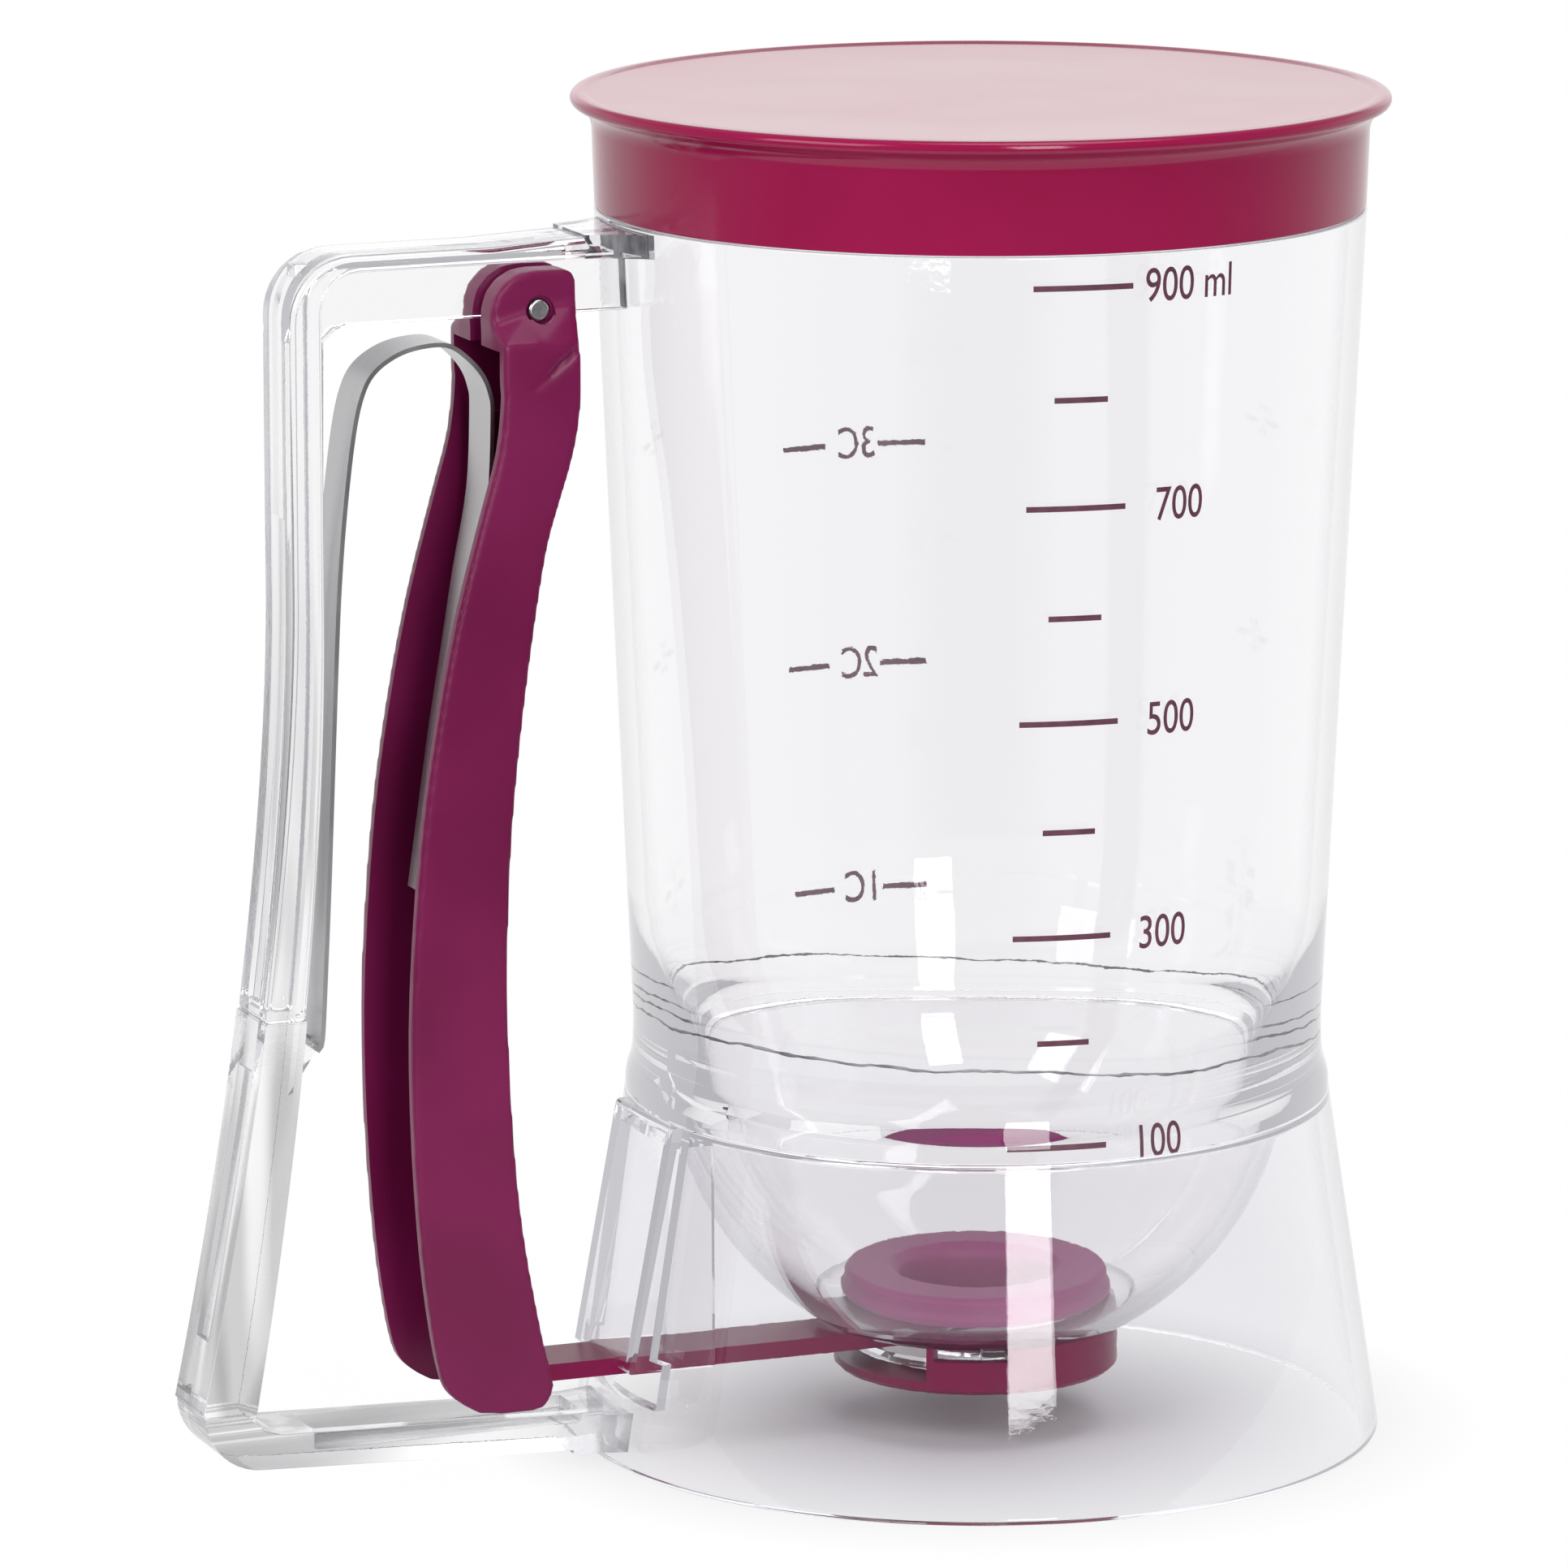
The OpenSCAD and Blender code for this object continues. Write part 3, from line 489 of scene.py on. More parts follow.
# %% Sizes
cup_r, cup_low_r, cup_wall = 51.4, 46.5, 2.3
shoulder_z, rim_z, seam_z = 166.86, 57.56, 46.86
bowl_r, bowl_z, outlet_z = 42.0, 51.26, 15.0
base_r, base_top_r = 54.8, 47.8
pivot_x, pivot_z = -65.0, 156.96
web_z = 163.06
print("cup from", seam_z, "to", shoulder_z, "mm, pivot at", pivot_x, pivot_z)

# %% [markdown]
# A moulding has smooth faces that meet at small round edges. Flat faces stay flat to the eye
# when hard edges are marked, and a bevel gives each hard edge a line of light.

# %% Edges
def soften(bm, angle):
    """Smooth faces, with hard edges where two faces meet at more than the angle."""
    for f in bm.faces:
        f.smooth = True
    for e in bm.edges:
        if len(e.link_faces) == 2:
            e.smooth = e.calc_face_angle(0.0) < math.radians(angle)


def round_edges(bm, width, segments=3, angle=32, only=None):
    """Bevels the hard edges of a mesh by a width in millimetres."""
    hard = [e for e in bm.edges if len(e.link_faces) == 2
            and e.calc_face_angle(0.0) > math.radians(angle) and (only is None or only(e))]
    bmesh.ops.bevel(bm, geom=hard, offset=width * mm, offset_type="OFFSET", segments=segments,
                    profile=0.5, affect="EDGES", clamp_overlap=True, material=-1)


print("edge helpers: soften, round_edges")

# %% [markdown]
# Four ways to make a first form. Round pieces are half sections turned about the cup's axis,
# so each needs only its section. Pieces of the handle are side views pushed out to a width.

# %% First forms
def face_out(bm):
    """Turns all faces outwards."""
    bmesh.ops.recalc_face_normals(bm, faces=bm.faces)


def shift(bm, x, y, z):
    """Moves a form, in millimetres."""
    bmesh.ops.translate(bm, vec=(x * mm, y * mm, z * mm), verts=bm.verts)


def turn(section, steps=192, closed=True, angle=360, start=0.0):
    """Turns a section of (radius, height) points about the cup's axis."""
    bm = bmesh.new()
    a = math.radians(start)
    verts = [bm.verts.new((r * math.cos(a) * mm, r * math.sin(a) * mm, z * mm))
             for r, z in section]
    ends = verts[1:] + verts[:1] if closed else verts[1:]
    edges = [bm.edges.new(pair) for pair in zip(verts, ends)]
    bmesh.ops.spin(bm, geom=verts + edges, cent=(0, 0, 0), axis=(0, 0, 1), dvec=(0, 0, 0),
                   angle=math.radians(angle), steps=steps, use_merge=(angle == 360))
    bmesh.ops.remove_doubles(bm, verts=bm.verts, dist=1e-7)
    if angle != 360:
        bmesh.ops.holes_fill(bm, edges=[e for e in bm.edges if e.is_boundary], sides=0)
    face_out(bm)
    return bm


def push_out(corners, way):
    """Pushes a flat outline, given as (x, y, z) corners, along a vector, all in millimetres."""
    bm = bmesh.new()
    face = bm.faces.new([bm.verts.new(tuple(c * mm for c in corner)) for corner in corners])
    made = bmesh.ops.extrude_face_region(bm, geom=[face])
    moved = [v for v in made["geom"] if isinstance(v, bmesh.types.BMVert)]
    bmesh.ops.translate(bm, vec=tuple(w * mm for w in way), verts=moved)
    face_out(bm)
    return bm


def slab(outline, width):
    """Pushes an outline of (x, z) points out to a width across the handle's plane."""
    return push_out([(x, -width / 2, z) for x, z in outline], (0, width, 0))


def block(low, high):
    """A box between two corners, in millimetres."""
    bm = bmesh.new()
    bmesh.ops.create_cube(bm, size=1.0)
    for v in bm.verts:
        v.co = Vector(((low[i] if v.co[i] < 0 else high[i]) * mm for i in range(3)))
    face_out(bm)
    return bm


def pin_rod(radius, width):
    """A round bar on the lever's axis, across the handle's plane."""
    bm = bmesh.new()
    bmesh.ops.create_cone(bm, cap_ends=True, segments=48, radius1=radius * mm,
                          radius2=radius * mm, depth=width * mm)
    bmesh.ops.rotate(bm, verts=bm.verts, cent=(0, 0, 0),
                     matrix=Matrix.Rotation(math.pi / 2, 3, "X"))
    shift(bm, pivot_x, 0, pivot_z)
    return bm


print("form helpers: turn, slab, block, pin_rod")

# %% [markdown]
# Parts of one moulding are joined, and holes are cut, with Boolean modifiers that are applied
# at once. A finished piece gets its name, its finish and the body that carries it.

# %% Joining and handing over
def evaluated_mesh(obj):
    """The mesh of an object with its modifiers applied."""
    bpy.context.view_layer.update()
    return bpy.data.meshes.new_from_object(
        obj.evaluated_get(bpy.context.evaluated_depsgraph_get()))


def take_form(obj):
    """The form of an object with its modifiers applied. The object goes."""
    mesh = evaluated_mesh(obj)
    bpy.data.objects.remove(obj)
    bm = bmesh.new()
    bm.from_mesh(mesh)
    return bm


def combine(bm, others, how):
    """Adds or cuts other closed meshes, and gives the result as one mesh."""
    obj = as_object(bm, "work")
    for other in others:
        tool = as_object(other, "tool")
        mod = obj.modifiers.new("cut", "BOOLEAN")
        mod.operation = how
        mod.solver = "EXACT"
        mod.object = tool
        result = evaluated_mesh(obj)
        obj.modifiers.clear()
        obj.data = result
        bpy.data.objects.remove(tool)
    bm = take_form(obj)
    bmesh.ops.remove_doubles(bm, verts=bm.verts, dist=1e-6)
    return bm


def finish_piece(bm, name, body, material, hard_angle, stands_for=()):
    """Smooths and names a mesh, gives it its finish, and lets it move with its body."""
    soften(bm, hard_angle)
    obj = as_object(bm, name)
    obj.data.materials.append(material)
    even_out = obj.modifiers.new("flat_faces_stay_flat", "WEIGHTED_NORMAL")
    even_out.keep_sharp = True
    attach(obj, body)
    if stands_for:
        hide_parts(*stands_for)
    print(f"{name}: {len(obj.data.polygons)} faces")


print("joining helpers: combine, finish_piece")

# %% [markdown]
# Outlines are drawn from a few points: a soft curve through them, an arc, or a line that is
# given as a function of the height.

# %% Outlines
def smooth_line(points, steps):
    """A soft curve through given points."""
    line = []
    last = len(points) - 1
    for i in range(last):
        a, b = points[max(i - 1, 0)], points[i]
        c, d = points[i + 1], points[min(i + 2, last)]
        for s in range(steps):
            t = s / steps
            line.append(tuple(
                0.5 * (2 * b[k] + (c[k] - a[k]) * t
                       + (2 * a[k] - 5 * b[k] + 4 * c[k] - d[k]) * t * t
                       + (3 * b[k] - a[k] - 3 * c[k] + d[k]) * t ** 3) for k in (0, 1)))
    return line + [points[last]]


def arc(cx, cz, r, start, end, count):
    """Points on an arc in the (radius, height) plane, angles in degrees."""
    return [(cx + r * math.cos(math.radians(start + (end - start) * i / count)),
             cz + r * math.sin(math.radians(start + (end - start) * i / count)))
            for i in range(count + 1)]


def run(line, low, high, count):
    """Points (x, z) of a line between two heights."""
    return [(line(low + (high - low) * i / count), low + (high - low) * i / count)
            for i in range(count + 1)]


print("outline helpers: smooth_line, arc, run")

# %% [markdown]
# Cup, bowl and base are bonded so tightly that no air is left in their joints, and clear
# plastic without air between its parts looks like one piece. So the three share one section:
# up inside the skirt, over the joint, round the bowl, up the cup and down its outside again.

# %% Clear body section
def skirt_out(z):
    """The radius of the skirt's outside at a height."""
    return base_r + (base_top_r - base_r) * z / seam_z


def down_angle(z, r):
    """How far round from the bowl's rim its wall reaches a height, in degrees."""
    return math.degrees(math.asin((bowl_z - z) / r))


bowl_wall, base_wall, plate_top = 2.0, 2.2, 18.0
inner_r = bowl_r - bowl_wall
joint = [(skirt_out(45.5) - base_wall, 45.5), (skirt_out(46) - 2.7, 46.0), (42.2, 46.0),
         (41.6, 45.4)]
bowl_outside = arc(0, bowl_z, bowl_r, -down_angle(45.2, bowl_r), -down_angle(outlet_z, bowl_r),
                   32)
collar = [(17.0, outlet_z), (17.0, 11.0), (11.8, 11.0), (11.8, 12.5), (12.8, 12.5),
          (12.8, 15.0), (12.25, 15.0), (12.25, plate_top)]
bowl_inside = arc(0, bowl_z, inner_r, -down_angle(plate_top, inner_r),
                  -down_angle(42.0, inner_r), 30)
flare = smooth_line([(39.5, 45.0), (40.0, 48.0), (40.6, 51.0), (41.25, 54.0), (42.0, 57.0),
                     (42.8, 60.0), (43.5, 63.0), (44.1, 66.5), (44.55, 70.0), (44.9, 75.0)], 3)
cup_inside = [(cup_r - cup_wall, shoulder_z), (49.1, 177.36), (49.4, 177.86)]
cup_outside = [(50.0, 177.86), (50.4, 177.36), (50.4, shoulder_z), (cup_r, shoulder_z),
               (46.7, 62.0), (cup_low_r, 58.0), (46.5, 55.5), (46.6, 52.7), (46.85, 51.3),
               (47.25, 50.1), (47.48, 49.2), (47.56, 48.2), (47.62, seam_z + 0.1),
               (47.54, seam_z + 0.03), (47.54, seam_z - 0.03)]
skirt_outside = [(base_top_r - 0.14, seam_z - 0.1), (base_r, 0.4), (base_r - 0.3, 0.0),
                 (base_r - 1.9, 0.0), (base_r - base_wall, 0.4)]
bm = turn(joint + bowl_outside + collar + bowl_inside + flare + cup_inside + cup_outside
          + skirt_outside)


def away_from_outlet_and_seam(e):
    """False for the small edges round the outlet and at the seam, which stay sharp."""
    return (not all(math.hypot(v.co.x, v.co.y) < 13.5 * mm for v in e.verts)
            and all(abs(v.co.z - seam_z * mm) > 0.2 * mm for v in e.verts))


round_edges(bm, 0.4, angle=35, only=away_from_outlet_and_seam)
print("clear body faces", len(bm.faces))

# %% [markdown]
# A window in the skirt lets the rod in. A flat-faced housing covers it: a box with thick
# corners whose side walls run on inwards as cheeks, and stop just short of the round bowl.

# %% Window and housing
bm = combine(bm, [block((-70, -13, 9.3), (-30, 13, 15.5)),
                  block((-40, -12.8, 12.5), (0, 12.8, 15.05))], "DIFFERENCE")
face_low, face_high = -skirt_out(15.5) - 2.4, -skirt_out(seam_z) - 0.9
house_foot, house_wall, house_roof = 13.8, 1.6, 3
house_wide, room_wide = 20, 17
ball = bmesh.new()
bmesh.ops.create_uvsphere(ball, u_segments=128, v_segments=96, radius=(bowl_r + 0.4) * mm)
shift(ball, 0, 0, bowl_z)


def on_face(e):
    """True for the housing's outer edges, away from the bowl."""
    return all(v.co.x < -0.045 for v in e.verts)


house = slab([(face_low, house_foot), (face_high, seam_z), (-41.6, seam_z),
              (-41.6, house_foot)], house_wide)
round_edges(house, 0.8, segments=4, only=on_face)
core = slab([(face_low + house_wall, 10.0), (face_high + house_wall, seam_z - house_roof),
             (-40.0, seam_z - house_roof), (-40.0, 10.0)], room_wide)
round_edges(core, 0.6, only=on_face)
house = combine(house, [core, ball.copy()], "DIFFERENCE")
opening = slab([(-80, 10.0), (-80, house_foot), (face_low + house_wall, house_foot),
                (face_high + house_wall, seam_z - house_roof), (-46.0, seam_z - house_roof),
                (-41.8, 36.0), (-41.8, 10.0)], room_wide)
opening = combine(opening, [ball], "DIFFERENCE")
bm = combine(bm, [house], "UNION")
bm = combine(bm, [opening], "DIFFERENCE")
print("faces with window and housing", len(bm.faces))

# %% [markdown]
# Two lugs stand out from the collar under the outlet. The outlet ring turns onto them.

# %% Lugs and hand-over of the clear body
for lug in (-111, 69):
    piece = turn([(16.5, 12.9), (19.0, 12.9), (19.0, 14.4), (16.5, 14.4)], steps=8, angle=10,
                 start=lug)
    round_edges(piece, 0.25)
    bm = combine(bm, [piece], "UNION")
finish_piece(bm, "clear_body", "body", clear, 33, ["cup", "bowl", "base"])

# %% [markdown]
# Glue filled the joint between bowl and cup by hand, so its line sags to one side, wanders up
# and down and swells here and there. A thin ring, pushed about by noise, gives that bead.
# A thin layer of the same grey behind the end of the handle's arm is painted reflection: it
# stands in for the dark wedge that the clear arm mirrors there.

# %% Bond line and painted reflection
bond_r, bond_z, bead_r = 45.0, rim_z + 0.05, 0.19
low_side, near_side = Vector((0.927, -0.375, 0)), Vector((-0.375, -0.927, 0))
bm = turn(arc(bond_r, bond_z, bead_r, 0, 360, 6)[:-1], steps=360)
for v in bm.verts:
    spot = Vector((v.co.x, v.co.y, 0.0))
    radial = spot.normalized()
    right, near = radial.dot(low_side), radial.dot(near_side)
    rise = (2.45 * near - 1.75 * right - 0.75 - 0.7 * near ** 2
            + noise.noise(spot * 42) * 0.8 + noise.noise(spot * 190) * 0.4
            + noise.noise(spot * 900) * 0.15)
    grow = 1.0 + 0.9 * noise.noise(spot * 500 + Vector((3, 1, 2)))
    radial = radial * bond_r * mm
    core = Vector((radial.x, radial.y, bond_z * mm))
    v.co = core + (v.co - core) * grow + Vector((0, 0, rise * mm))
# Painted reflection: a dark layer behind the arm's end stands in for the dark wedge the arm
# mirrors.
arm_painted_reflection = combine(block((-54, -1.3, 155.9), (-45, 1.3, 164)),
                   [block((-54, -8.4, 163.6), (-45, 8.4, 166.4))], "UNION")
cup_face = [(cup_low_r + 0.03, rim_z), (cup_r + 0.03, shoulder_z)]
skin = turn(cup_face + [(r + 0.25, z) for r, z in cup_face[::-1]])
bm = combine(bm, [combine(arm_painted_reflection, [skin], "INTERSECT")], "UNION")
finish_piece(bm, "bond_line_and_painted_reflection", "body", glue_and_painted_reflection, 80)

# %% [markdown]
# The lid is pushed over the neck. Its rim is thin and rounded, and stands out past a skirt
# that flares up to it, so fingers can lift it.

# %% Lid
lid_section = ([(50.5, 167.06), (51.3, 167.06), (51.65, 177.5), (51.9, 178.6), (52.5, 179.5),
                (53.3, 180.1), (53.95, 180.45)]
               + arc(53.6, 181.25, 0.9, -60, 90, 8)
               + [(52.6, 182.2), (52.0, 181.95), (30.0, 181.9), (0.0, 181.9), (0.0, 180.2),
                  (45.0, 180.2), (45.9, 174.9), (47.4, 174.9), (48.8, 175.9), (48.8, 178.06),
                  (50.5, 178.06)])
bm = turn(lid_section, closed=False)
bmesh.ops.bridge_loops(bm, edges=[e for e in bm.edges if e.is_boundary])
face_out(bm)
round_edges(bm, 0.25, segments=2, angle=40)
finish_piece(bm, "lid_cap", "lid", lid_plastic, 40, ["lid"])

# %% [markdown]
# The printed scale is a thin film of ink on the outside of the cup: millilitres on the near
# side, cups on the far side. Marks are small grids and letters are text made into meshes, both
# wrapped round the cup's wall.

# %% Marks and letters
mark_tall, letter_tall, letter_squeeze, ink_proud = 0.76, 4.4, 0.78, 0.05


def cup_out(z):
    """The radius of the cup's outside at a height."""
    if z < rim_z:
        return cup_low_r + 0.7 * (rim_z - z) / 10.5
    return cup_low_r + (cup_r - cup_low_r) * (z - rim_z) / 109.3


def wrap(bm, azimuth, z0):
    """Lays a flat mesh on the cup: x runs round the wall, y runs up."""
    for v in bm.verts:
        z = z0 + v.co.y
        r = cup_out(z) + ink_proud
        a = math.radians(azimuth) + v.co.x / r
        v.co = Vector((r * math.cos(a), r * math.sin(a), z)) * mm


def mark(from_azimuth, to_azimuth, z):
    """A printed line between two places round the cup, in degrees."""
    bm = bmesh.new()
    bmesh.ops.create_grid(bm, x_segments=14, y_segments=1, size=0.5)
    span = math.radians(to_azimuth - from_azimuth) * cup_out(z)
    bmesh.ops.scale(bm, vec=(span, mark_tall, 1), verts=bm.verts)
    bmesh.ops.translate(bm, vec=(span / 2, 0, 0), verts=bm.verts)
    wrap(bm, from_azimuth, z)
    return bm


def lettering(words, azimuth, z, align="LEFT"):
    """Printed words at a place round the cup. Capitals are 0.7 of a font's size."""
    curve = bpy.data.curves.new("words", "FONT")
    curve.body = words
    curve.size = letter_tall / 0.70
    curve.align_x = align
    curve.align_y = "CENTER"
    curve.offset = 0.026
    curve.resolution_u = 6
    bm = take_form(put_in_scene("words", curve))
    bmesh.ops.triangulate(bm, faces=bm.faces)
    bmesh.ops.scale(bm, vec=(letter_squeeze, 1, 1), verts=bm.verts)
    wrap(bm, azimuth, z)
    return bm


def print_on_cup(parts, name):
    """Gathers marks and letters into one piece of ink."""
    whole = bmesh.new()
    for p in parts:
        m = bpy.data.meshes.new("part")
        p.to_mesh(m)
        p.free()
        whole.from_mesh(m)
    finish_piece(whole, name, "body", ink, 32)


print("letters", letter_tall, "mm tall")

# %% [markdown]
# Every second mark of the near scale is long and has its number. The cup gets wider upwards,
# so marks of nearly one length take a smaller angle there. The far scale counts cups.

# %% Printed scale
mark_heights = (48.9, 62.8, 77.0, 91.1, 105.6, 119.5, 134.0, 148.2, 162.8)
top_mark = 8
near = []
for i, z in enumerate(mark_heights):
    share = i / top_mark
    if i % 2 == 0:
        words = str((i + 1) * 100) + (" ml" if i == top_mark else "")
        near.append(mark(-108.3 + 2.8 * share, -92.1 + 1.5 * share, z))
        near.append(lettering(words, -86.2 - 2.6 * (i == top_mark) - 0.2 * max(0, 6 - i),
                              z - 0.3))
    else:
        near.append(mark(-103.7 + 1.7 * share, -95.1 + 1.1 * share, z))
print_on_cup(near, "scale_near")
far = []
for cups, z in ((1, 64.7), (2, 96.4), (3, 127.1)):
    far += [mark(75.8, 83.9, z), mark(93.2, 101.2, z),
            lettering(f"{cups}C", 87.6, z, align="CENTER")]
print_on_cup(far, "scale_far")

# %% [markdown]
# The upper handle is one moulding: a flat arm with a web under it, which turns down into the
# grip. The web runs on down the grip as a low rib for the spring.

# %% Handle lines
straight_z, foot_level, grip_x, grip_t, splay = pivot_z - 37, 16.0, -99.0, 4.4, 13.0
grip_seam, grip_wide, web_wide, rib_h = rim_z + 7.2, 12, 3, 1.3


def below(z):
    """The share of the way down from the straight part of the grip to its foot."""
    return max(0.0, straight_z - z) / (straight_z - foot_level)


def grip_out(z):
    """The grip's outer face: straight above, then it splays out towards the foot."""
    return grip_x - splay * below(z) ** 1.7


def grip_in(z):
    """The grip's inner face. The grip gets thicker towards the foot."""
    return grip_out(z) + grip_t + 3 * below(z) ** 1.3


def grip_groove(low, high, count):
    """A cutter for the shallow groove in the grip's outer face."""
    return slab(run(lambda z: grip_out(z) + 0.8, low, high, count)
                + run(lambda z: grip_out(z) - 3, high, low, count), 4.6)


def cone(low_r, high_r, low_z, high_z):
    """A solid cone section round the cup's axis, for cutting."""
    return turn([(0, low_z), (low_r, low_z), (high_r, high_z), (0, high_z)], closed=False)


print("grip seam at", round(grip_seam, 2), "mm")

# %% [markdown]
# The arm and the web are two side views of different width, joined. A plate with a flared end
# meets the cup, a boss carries the pin, and a cone cuts the end to the cup's wall.

# %% Upper handle
arm_top = web_z + 2.3
arm_end = -47.4
upper_line = ([(arm_end, arm_top + 1.2), (-59.4, arm_top + 0.7), (-71.4, arm_top + 0.1)]
              + arc(grip_x + 8.5, arm_top - 8.5, 8.5, 90, 180, 10)
              + run(grip_out, straight_z, grip_seam, 14)
              + run(grip_in, grip_seam, straight_z, 14)
              + arc(grip_x + grip_t + 5, web_z - 5, 5, 180, 90, 6) + [(arm_end, web_z + 0.3)])
upper = slab(upper_line, grip_wide)
round_edges(upper, 0.9, segments=4, angle=50)
web_line = ([(arm_end, web_z + 1), (grip_x + 2, web_z + 1)]
            + run(lambda z: grip_out(z) + 2, straight_z, grip_seam, 12)
            + run(lambda z: grip_in(z) + rib_h, grip_seam, straight_z, 12)
            + [(grip_x + grip_t + rib_h + 0.4, web_z - 9.5),
               (grip_x + grip_t + rib_h + 2, web_z - 7.9),
               (grip_x + grip_t + rib_h + 3.6, web_z - 7.4), (arm_end, web_z - 7.4)])
web = slab(web_line, web_wide)
round_edges(web, 0.35, segments=2, angle=50)
boss = pin_rod(3.6, 4.0)
half_plate = [(arm_end, 10), (-50.4, 10), (-52.5, 8.6), (-55, 7), (-58.4, 6)]
end_plate = push_out([(x, -y, web_z + 0.3) for x, y in half_plate]
                     + [(x, y, web_z + 0.3) for x, y in half_plate[::-1]], (0, 0, 3.1))
upper = combine(upper, [web, boss, end_plate], "UNION")
groove = grip_groove(67, 131, 10)
round_edges(groove, 0.3, segments=2)
upper = combine(upper, [groove, pin_rod(1.65, 14),
                        cone(cup_low_r, cup_r, rim_z, shoulder_z),
                        block((-54.4, -14, shoulder_z - 0.2), (-20, 14, 175))], "DIFFERENCE")
print("upper handle faces", len(upper.faces))

# %% [markdown]
# The lower handle starts at the seam in the grip, rounds the heel and runs back to the base as
# a shallow trough. A small catch holds the spring's foot. Glue fills the seam, so the two halves
# look like one bar with a hairline round it.

# %% Lower handle
def foot_under(x):
    """The height of the lower arm's underside."""
    return 2.6 + 2.2 * max(0.0, -x - base_r) / 60.6


heel_x = grip_out(foot_level) - 0.4
heel_z = foot_under(heel_x) + 0.2
inner_z = foot_under(grip_in(14)) + 7.2
lower_line = (run(grip_out, grip_seam + 0.1, heel_z + 8, 12)
              + arc(heel_x + 8, heel_z + 8, 8, 180, 270, 10)
              + [(-48.8, 2.6), (-48.8, 7.8), (grip_in(inner_z) + 3.5, foot_under(-101) + 5.2),
                 (grip_in(inner_z) + 1.2, foot_under(-101) + 5.9)]
              + run(grip_in, inner_z, grip_seam + 0.1, 12))
lower = slab(lower_line, grip_wide)
round_edges(lower, 0.9, segments=4, angle=50)
seam_in, catch_in = grip_in(grip_seam), grip_in(61.8)
catch = slab([(seam_in - 1, grip_seam - 0.2), (seam_in + rib_h, grip_seam - 0.2),
              (catch_in + rib_h, 61.5), (catch_in + 3.4, 61.5), (catch_in + 3.4, 60.3),
              (seam_in - 2, 52.8)], web_wide)
half_wing = [(-48.8, 8), (-53.8, 8), (-56.5, 7.2), (-60.8, 6)]
wing = push_out([(x, -y, 2.65) for x, y in half_wing]
                + [(x, y, 2.65) for x, y in half_wing[::-1]], (0, 0, 5.2))
lower = combine(lower, [catch, wing], "UNION")
trough = block((-97, -4, 6.4), (-59, 4, 12))
round_edges(trough, 0.6, segments=2)
lower = combine(lower, [trough, grip_groove(22, 58, 8),
                        cone(base_r, base_top_r, 0, seam_z)], "DIFFERENCE")
bm = combine(upper, [lower], "UNION")
hairline = combine(block((grip_out(grip_seam) - 2, -8, grip_seam - 0.1),
                         (grip_in(grip_seam) - 0.1, 8, grip_seam + 0.1)),
                   [block((grip_out(grip_seam) + 0.2, -5.8, grip_seam - 1),
                          (grip_in(grip_seam) + 2, 5.8, grip_seam + 1))], "DIFFERENCE")
bm = combine(bm, [hairline], "DIFFERENCE")
finish_piece(bm, "clear_handle", "body", clear_handle, 30,
             ["upper_handle", "lower_handle"])

# %% [markdown]
# The lever is a trough open towards the grip. Its side view is drawn once and pushed out to
# the full width, with the ears and a sloping shoulder added. The form is then rebuilt on a
# fine grid and smoothed, which rounds every corner as on a moulding, and hollowed last.

# %% Lever outline
rim_points = [(-71.3, 153.2), (-71.2, 146.9), (-72.0, 139.1), (-74.2, 131.2), (-77.9, 117.6),
              (-80.8, 103.3), (-83.0, 88.2), (-84.5, 68.2), (-84.6, 52.4), (-83.8, 36.7),
              (-82.6, 25.2), (-80.9, 16.0), (-78.8, 12.8), (-75.6, 10.75)]
front_points = [(-60.75, 152.4), (-60.7, 149.6), (-60.8, 144.1), (-61.8, 138.4),
                (-64.05, 131.2), (-65.65, 125.5), (-67.6, 114.0), (-69.5, 99.7), (-70.8, 85.4),
                (-71.35, 68.2), (-70.8, 51.0), (-69.4, 35.3), (-66.7, 20.2), (-65.4, 15.2),
                (-65.3, 12.7), (-66.6, 10.6)]
rim_line = smooth_line(rim_points, 3)
front_line = smooth_line(front_points, 3)
lever_foot, lever_half, lever_wall = 10.4, 10.5, 1.8
body_line = rim_line + [(-73.0, lever_foot), (-68.0, lever_foot)] + front_line[::-1]
ear_line = [(-71.3, 150.0), (-71.4, 153.2), (-71.6, 155.4),
            (-71.5, 157.1), (-70.9, 159.1), (-69.5, 160.8), (-67.6, 161.9), (-65.6, 162.2),
            (-61.5, 162.15), (-60.3, 161.8), (-59.9, 160.8), (-59.8, 157.6), (-60.0, 153.6),
            (-60.4, 149.0)]
print("lever outline points", len(body_line))

# %% [markdown]
# The cheeks of the ears and the shoulder are tight skins round two outlines of different width.
# A thin wedge cuts the crease on each side, and the last cut takes out the hollow.

# %% Lever body
def hull(outlines):
    """The tight skin round several outlines, each given as (half width, (x, z) points)."""
    bm = bmesh.new()
    for half, points in outlines:
        for x, z in points:
            for y in (-half, half):
                bm.verts.new((x * mm, y * mm, z * mm))
    made = bmesh.ops.convex_hull(bm, input=list(bm.verts))
    spare = [v for v in made["geom_interior"] if isinstance(v, bmesh.types.BMVert)]
    bmesh.ops.delete(bm, geom=spare, context="VERTS")
    bmesh.ops.dissolve_limit(bm, angle_limit=0.02, verts=bm.verts, edges=bm.edges)
    face_out(bm)
    return bm


def melt(bm, voxel, rounds):
    """Rebuilds a form on a fine grid and smooths it, so all its corners become round."""
    obj = as_object(bm, "work")
    grid = obj.modifiers.new("grid", "REMESH")
    grid.mode = "VOXEL"
    grid.voxel_size = voxel * mm
    calm = obj.modifiers.new("calm", "SMOOTH")
    calm.factor = 0.5
    calm.iterations = rounds
    return take_form(obj)


